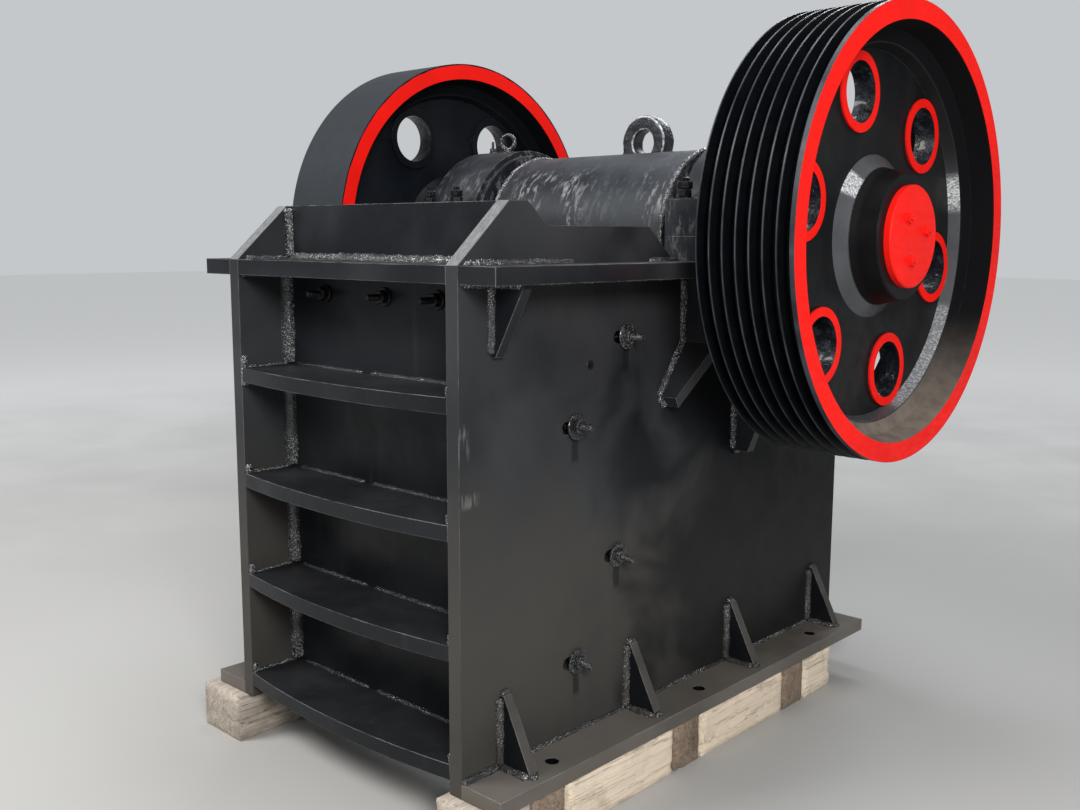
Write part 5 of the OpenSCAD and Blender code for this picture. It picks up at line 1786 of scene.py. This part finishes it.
@dataclass
class SwingJaw:
    """The swing jaw: cast finish, the rough skin of its lifting eye and the ragged bands at the barrel's ends."""

    shop: Workshop
    eye_centre: Pair = (1275, 1621)
    eye_r: float = 85
    hole_r: float = 42
    eye_t: float = 54
    barrel_half: float = 349
    barrel_r: float = 268
    band_r: float = 9
    band_arc: Sequence[int] = (-64, 229, 4)
    worn_places: Sequence[Pair] = ((-150, 240), (295, 90))
    skin_t: float = 2.5
    skin_lump: float = 1.8

    def build(self, beads: BeadRecipe) -> None:
        """Dresses the swing jaw and its plates.

        Args:
            beads: The recipe that makes the ragged bands.
        """
        worn_places = tuple((x * MM, half * MM) for x, half in self.worn_places)
        self.shop.dress(("swing_jaw",), CastPaint(worn_places=worn_places))
        worn = Steel("jaw_steel", base=(0.20, 0.185, 0.17), dark=(0.085, 0.08, 0.076), roughness=0.45,
                     rust_amount=0.45, metallic=0.6)
        self.shop.dress(("moving_jaw_plate", "fixed_jaw_plate", "cheek_plates_left", "cheek_plates_right"), worn)
        bare = Steel("bare_steel", base=(0.26, 0.25, 0.24))
        self.shop.dress(("jaw_wedge", "front_toggle_seat", "rear_toggle_seat", "toggle_plate", "shim_pack",
                         "tension_rod"), bare)
        self.shop.add("lifting_eye_skin", self.eye_skin(), BeadPaint(
            "eye_cast", deep=(0.014, 0.017, 0.022), lit=(0.042, 0.048, 0.058), glints=0.30, roughness=0.26,
            lump_scale=60.0, depth=0.006, rare=0.68, rim=0.70, gloss=0.35), Body.SWING, "cast_paint")
        machine = self.shop.machine
        paths = BeadPaths(machine)
        for end in (-1, 1):
            x = end * (self.barrel_half - 7)
            spots = machine.about_shaft(self.barrel_r - 3, self.band_arc, machine.ecc_z)
            paths.run(self.band_r, *[(x, *spot) for spot in spots])
        mesh = beads.run("barrel_bands", paths.mesh("barrel_band_paths"), Seed=9.0, Lump_height=0.006)
        self.shop.add("barrel_bands", mesh, None, Body.SWING, "cast_paint")

    def eye_skin(self) -> Mesh:
        """A rounded rough ring that closes round the lifting eye's plain plate."""
        shape = bmesh.new()
        machine = self.shop.machine
        cy, cz = self.eye_centre
        rows, columns = 96, 40
        middle = (self.eye_r + self.hole_r) / 2
        half_w = (self.eye_r - self.hole_r) / 2 + self.skin_t
        half_t = self.eye_t / 2 + self.skin_t + 1.0

        def place(i: int, j: int) -> Vector:
            """The point of section i and column j."""
            a, b = 2 * math.pi * i / rows, 2 * math.pi * j / columns
            c, s = math.cos(b), math.sin(b)
            power = 2.0 / 4.2
            u = half_w * math.copysign(abs(c) ** power, c)
            v = half_t * math.copysign(abs(s) ** power, s)
            spot = Vector((math.cos(a) * (middle + u), cy + v, cz + math.sin(a) * (middle + u)))
            lump = noise.fractal(spot * 0.045, 1.0, 2.0, 3) * self.skin_lump
            out = Vector((math.cos(a) * c, s, math.sin(a) * c)) * lump
            return machine.point(*(spot + out))

        add_grid_tube(shape, rows, columns, place, True)
        return mesh_from_bmesh("lifting_eye_skin", shape, 60)


@dataclass
class ToggleWorks:
    """The parts behind the swing jaw: the adjusting block, the shaft, the rod's spring."""

    shop: Workshop

    def build(self) -> None:
        """Dresses the parts."""
        self.shop.dress(("adjusting_block",), CastPaint(name="block_cast", rub_amount=0.25))
        self.shop.dress(("eccentric_shaft",), Steel(
            "turned_steel", base=(0.42, 0.42, 0.42), dark=(0.3, 0.3, 0.3), rust_amount=0.08, roughness=0.26,
            metallic=1.0, turned=True))
        self.shop.dress(("tension_spring",), Steel(
            "spring_steel", base=(0.10, 0.10, 0.105), dark=(0.05, 0.05, 0.052), rust_amount=0.25,
            roughness=0.38, metallic=0.5))


@dataclass
class Sleepers:
    """Both rows of timber: long pieces with the grain along the row, and short blocks laid across it."""

    shop: Workshop
    first_block: float = 112
    block_pitch: float = 565
    block_len: float = 122
    gap: float = 3
    cell: float = 13
    depth: float = 3.2
    round_r: float = 5.0

    def build(self) -> None:
        """Builds every timber and stands them for the CAD rows."""
        for side in Side:
            node = f"timbers_{side.word}"
            box = self.shop.machine.span(node)
            starts = [self.first_block + i * self.block_pitch for i in range(3)]
            if side is Side.LEFT:
                starts = starts[1:]
            spans = [(box.low.y, starts[0] - self.gap, TimberKind.LONG)]
            for i, start in enumerate(starts):
                spans.append((start, start + self.block_len, TimberKind.SHORT))
                after = starts[i + 1] if i + 1 < len(starts) else box.high.y + self.gap
                spans.append((start + self.block_len + self.gap, after - self.gap, TimberKind.LONG))
            pieces = [self.timber(box, low, high, kind, i + 10 * (side is Side.LEFT))
                      for i, (low, high, kind) in enumerate(spans)]
            self.place_row(side, node, pieces, [kind for _, _, kind in spans])

    def place_row(self, side: Side, node: str, pieces: Sequence[Mesh],
                  kinds: Sequence[TimberKind]) -> None:
        """Gives each timber its wood and makes it a piece; the front ones are the darkest."""
        holes = self.shop.machine.anchor_holes()
        pale = SleeperWood("sleeper_pale", (0.86, 0.74, 0.60), (0.74, 0.625, 0.49), (0.34, 0.28, 0.21),
                           split_depth=0.35, holes=holes)
        grey = SleeperWood("sleeper_grey", (0.56, 0.49, 0.42), (0.33, 0.29, 0.245), (0.15, 0.125, 0.10),
                           holes=holes)
        short = SleeperWood("sleeper_short", (0.33, 0.25, 0.19), (0.20, 0.15, 0.115), (0.10, 0.075, 0.055),
                            TimberKind.SHORT, holes=holes)
        for i, (mesh, kind) in enumerate(zip(pieces, kinds)):
            wood = short if kind is TimberKind.SHORT else pale
            if i == 0:
                wood = grey
            replaced = (node,) if i == 0 else ()
            self.shop.add(f"sleeper_{side.word}_{i + 1}", mesh, wood, Body.FRAME, "timber", replaced)

    def timber(self, box: Span, low: float, high: float, kind: TimberKind, seed: int) -> Mesh:
        """One sawn and weathered timber: worn edges, a waney surface and drying cracks.

        Args:
            box: The row's box.
            low: The timber's start along y.
            high: Its end.
            kind: How its grain lies.
            seed: Moves its noise.

        Returns:
            The mesh.
        """
        size = Vector((box.high.x - box.low.x, high - low, box.high.z - box.low.z))
        counts = [max(2, round(n / self.cell)) for n in size]
        shape = bmesh.new()
        corner = Vector((box.low.x, low, box.low.z))
        grid: dict[tuple[int, int, int], bmesh.types.BMVert] = {}

        def vert(i: int, j: int, k: int) -> bmesh.types.BMVert:
            """The surface point of a grid cell, made once."""
            key = (i, j, k)
            if key not in grid:
                part = Vector((i / counts[0], j / counts[1], k / counts[2]))
                grid[key] = shape.verts.new(self.worn(corner, size, part, kind, seed))
            return grid[key]

        for axis in range(3):
            a, b = [n for n in range(3) if n != axis]
            for end in (0, counts[axis]):
                for i in range(counts[a]):
                    for j in range(counts[b]):
                        loop = []
                        for di, dj in ((0, 0), (1, 0), (1, 1), (0, 1)):
                            key = [0, 0, 0]
                            key[axis], key[a], key[b] = end, i + di, j + dj
                            loop.append(vert(*key))
                        shape.faces.new(loop)
        return mesh_from_bmesh(f"sleeper_{seed}", shape, 50)

    def worn(self, corner: Vector, size: Vector, part: Vector, kind: TimberKind, seed: int) -> Vector:
        """Moves a point of the plain box inward, by the wood's wear there."""
        spot = Vector([part[n] * size[n] for n in range(3)])
        inward = Vector((0.0, 0.0, 0.0))
        stretch = (0.02, 0.004, 0.05) if kind is TimberKind.LONG else (0.004, 0.02, 0.05)
        close = [min(spot[n], size[n] - spot[n]) for n in range(3)]
        for n in range(3):
            sign = -1.0 if part[n] > 0.5 else 1.0
            others = [max(0.0, 1.0 - close[m] / 16.0) for m in range(3) if m != n]
            if close[n] < 0.01:
                key = Vector([(corner[m] + spot[m]) * stretch[m] for m in range(3)])
                wave = 0.5 + 0.5 * noise.fractal(key + Vector((seed * 7.3, 0, 0)), 1.0, 2.0, 3)
                inward[n] += sign * (self.depth * max(0.0, wave) + self.round_r * max(others) ** 2)
                groove = abs(noise.noise(key * 2.1 + Vector((seed * 3.1, 5, 0))))
                if n != 2:
                    inward[n] += sign * 7.0 * max(0.0, 1.0 - groove / 0.05)
        if part.z > 0.999:
            inward.z = min(0.0, max(inward.z, -1.0)) - (self.round_r * 0.6 if min(close[:2]) < 0.01 else 0.0)
        if part.z < 0.001:
            inward.z = max(0.0, min(inward.z, 1.0))
        placed = corner + spot + inward
        return self.shop.machine.point(*placed)


# Studio


@dataclass
class Studio:
    """The pale floor, the soft lights and the camera at the photograph's viewing angle."""

    shelf: FinishShelf
    camera_place: Point = (2.29600, -2.65073, 1.45488)
    yaw: float = 42.923
    pitch: float = -8.504
    roll: float = 0.200
    lens: float = 37.53
    floor_half: float = 40.0

    def build(self) -> None:
        """Builds floor, light and camera."""
        self.floor()
        self.world()
        bpy.context.scene.view_settings.view_transform = "Standard"
        self.lamp("key_soft", (-2.4, -4.3, 5.2), (0.0, -0.4, 0.8), (2.6, 2.0), 330.0, (1.0, 0.985, 0.96))
        self.lamp("roof_strip", (0.2, 0.5, 5.4), (0.0, 0.0, 0.8), (6.0, 1.0), 150.0, (0.93, 0.965, 1.0))
        self.lamp("right_fill", (4.2, -3.4, 3.2), (0.5, -0.2, 0.9), (1.6, 1.6), 240.0, (1.0, 0.98, 0.95))
        self.lamp("rear_rim", (-1.2, 4.6, 4.6), (0.0, 0.3, 1.6), (3.0, 0.8), 90.0, (0.93, 0.965, 1.0))
        self.camera()

    def floor(self) -> None:
        """A large level floor."""
        shape = bmesh.new()
        bmesh.ops.create_grid(shape, x_segments=4, y_segments=4, size=self.floor_half)
        mesh = bpy.data.meshes.new("floor")
        shape.to_mesh(mesh)
        shape.free()
        mesh.materials.append(self.shelf.take(FloorFinish()))
        floor = bpy.data.objects.new("floor", mesh)
        bpy.context.scene.collection.objects.link(floor)

    @staticmethod
    def world() -> None:
        """Even pale backdrop, with dimmer light of the same colour from all round."""
        world = bpy.data.worlds.new("pale_hall")
        world.use_nodes = True
        board = Board(world.node_tree)
        background = world.node_tree.nodes["Background"]
        background.inputs["Color"].default_value = (0.90, 0.93, 0.96, 1.0)
        direct = board.add("ShaderNodeLightPath").outputs["Is Camera Ray"]
        board.feed(background.inputs["Strength"], board.blend(direct, 0.24, 0.62))
        bpy.context.scene.world = world

    @staticmethod
    def lamp(name: str, place: Point, aim: Point, size: Pair, watts: float,
             colour: Rgb) -> None:
        """A soft rectangular lamp.

        Args:
            name: Its name.
            place: Where it hangs.
            aim: The point it faces.
            size: Its width and height in metres.
            watts: Its power.
            colour: Its colour.
        """
        data = bpy.data.lights.new(name, "AREA")
        data.shape = "RECTANGLE"
        data.size, data.size_y = size
        data.energy = watts
        data.color = colour
        lamp = bpy.data.objects.new(name, data)
        lamp.matrix_world = Matrix.Translation(place) @ (
            (Vector(aim) - Vector(place)).to_track_quat("-Z", "Y").to_matrix().to_4x4())
        bpy.context.scene.collection.objects.link(lamp)

    def camera(self) -> None:
        """The camera, from its place and its three turns."""
        yaw, pitch, roll = (math.radians(v) for v in (self.yaw, self.pitch, self.roll))
        ahead = Vector((-math.sin(yaw) * math.cos(pitch), math.cos(yaw) * math.cos(pitch), math.sin(pitch)))
        level = Vector((math.cos(yaw), math.sin(yaw), 0.0))
        rise = level.cross(ahead)
        right = math.cos(roll) * level + math.sin(roll) * rise
        up = -math.sin(roll) * level + math.cos(roll) * rise
        data = bpy.data.cameras.new("photo_camera")
        data.sensor_fit = "HORIZONTAL"
        data.sensor_width = 36.0
        data.lens = self.lens
        data.clip_end = 200.0
        camera = bpy.data.objects.new("photo_camera", data)
        turn = Matrix((right, up, -ahead)).transposed().to_4x4()
        camera.matrix_world = Matrix.Translation(self.camera_place) @ turn
        bpy.context.scene.collection.objects.link(camera)
        bpy.context.scene.camera = camera


def main() -> None:
    """Builds the whole scene, sub-assembly by sub-assembly."""
    logging.basicConfig(level=logging.INFO, format="%(message)s", stream=sys.stdout)
    shelf = FinishShelf()
    Studio(shelf).build()
    shop = Workshop(Machine.read(), shelf)
    beads = BeadRecipe(shelf.take(shop.bead))
    fasteners = FastenerRecipe(shelf.take(shop.bolt))
    cover_bolts = FastenerRecipe(shelf.take(RedPaint()), "cover_fasteners")
    PlateFrame(shop).build(fasteners)
    FrameWelds(shop).build(beads)
    Bearings(shop).build(fasteners, CastPaint(
        name="housing_paint", deep=(0.009, 0.0105, 0.014), lit=(0.028, 0.031, 0.037), rub_amount=0.30,
        pits=0.0009, shift=8.2))
    Wheels(shop).build(cover_bolts)
    SwingJaw(shop).build(beads)
    ToggleWorks(shop).build()
    Sleepers(shop).build()
    LOG.info("%d pieces besides the CAD nodes", shop.count)


if __name__ == "__main__":
    main()
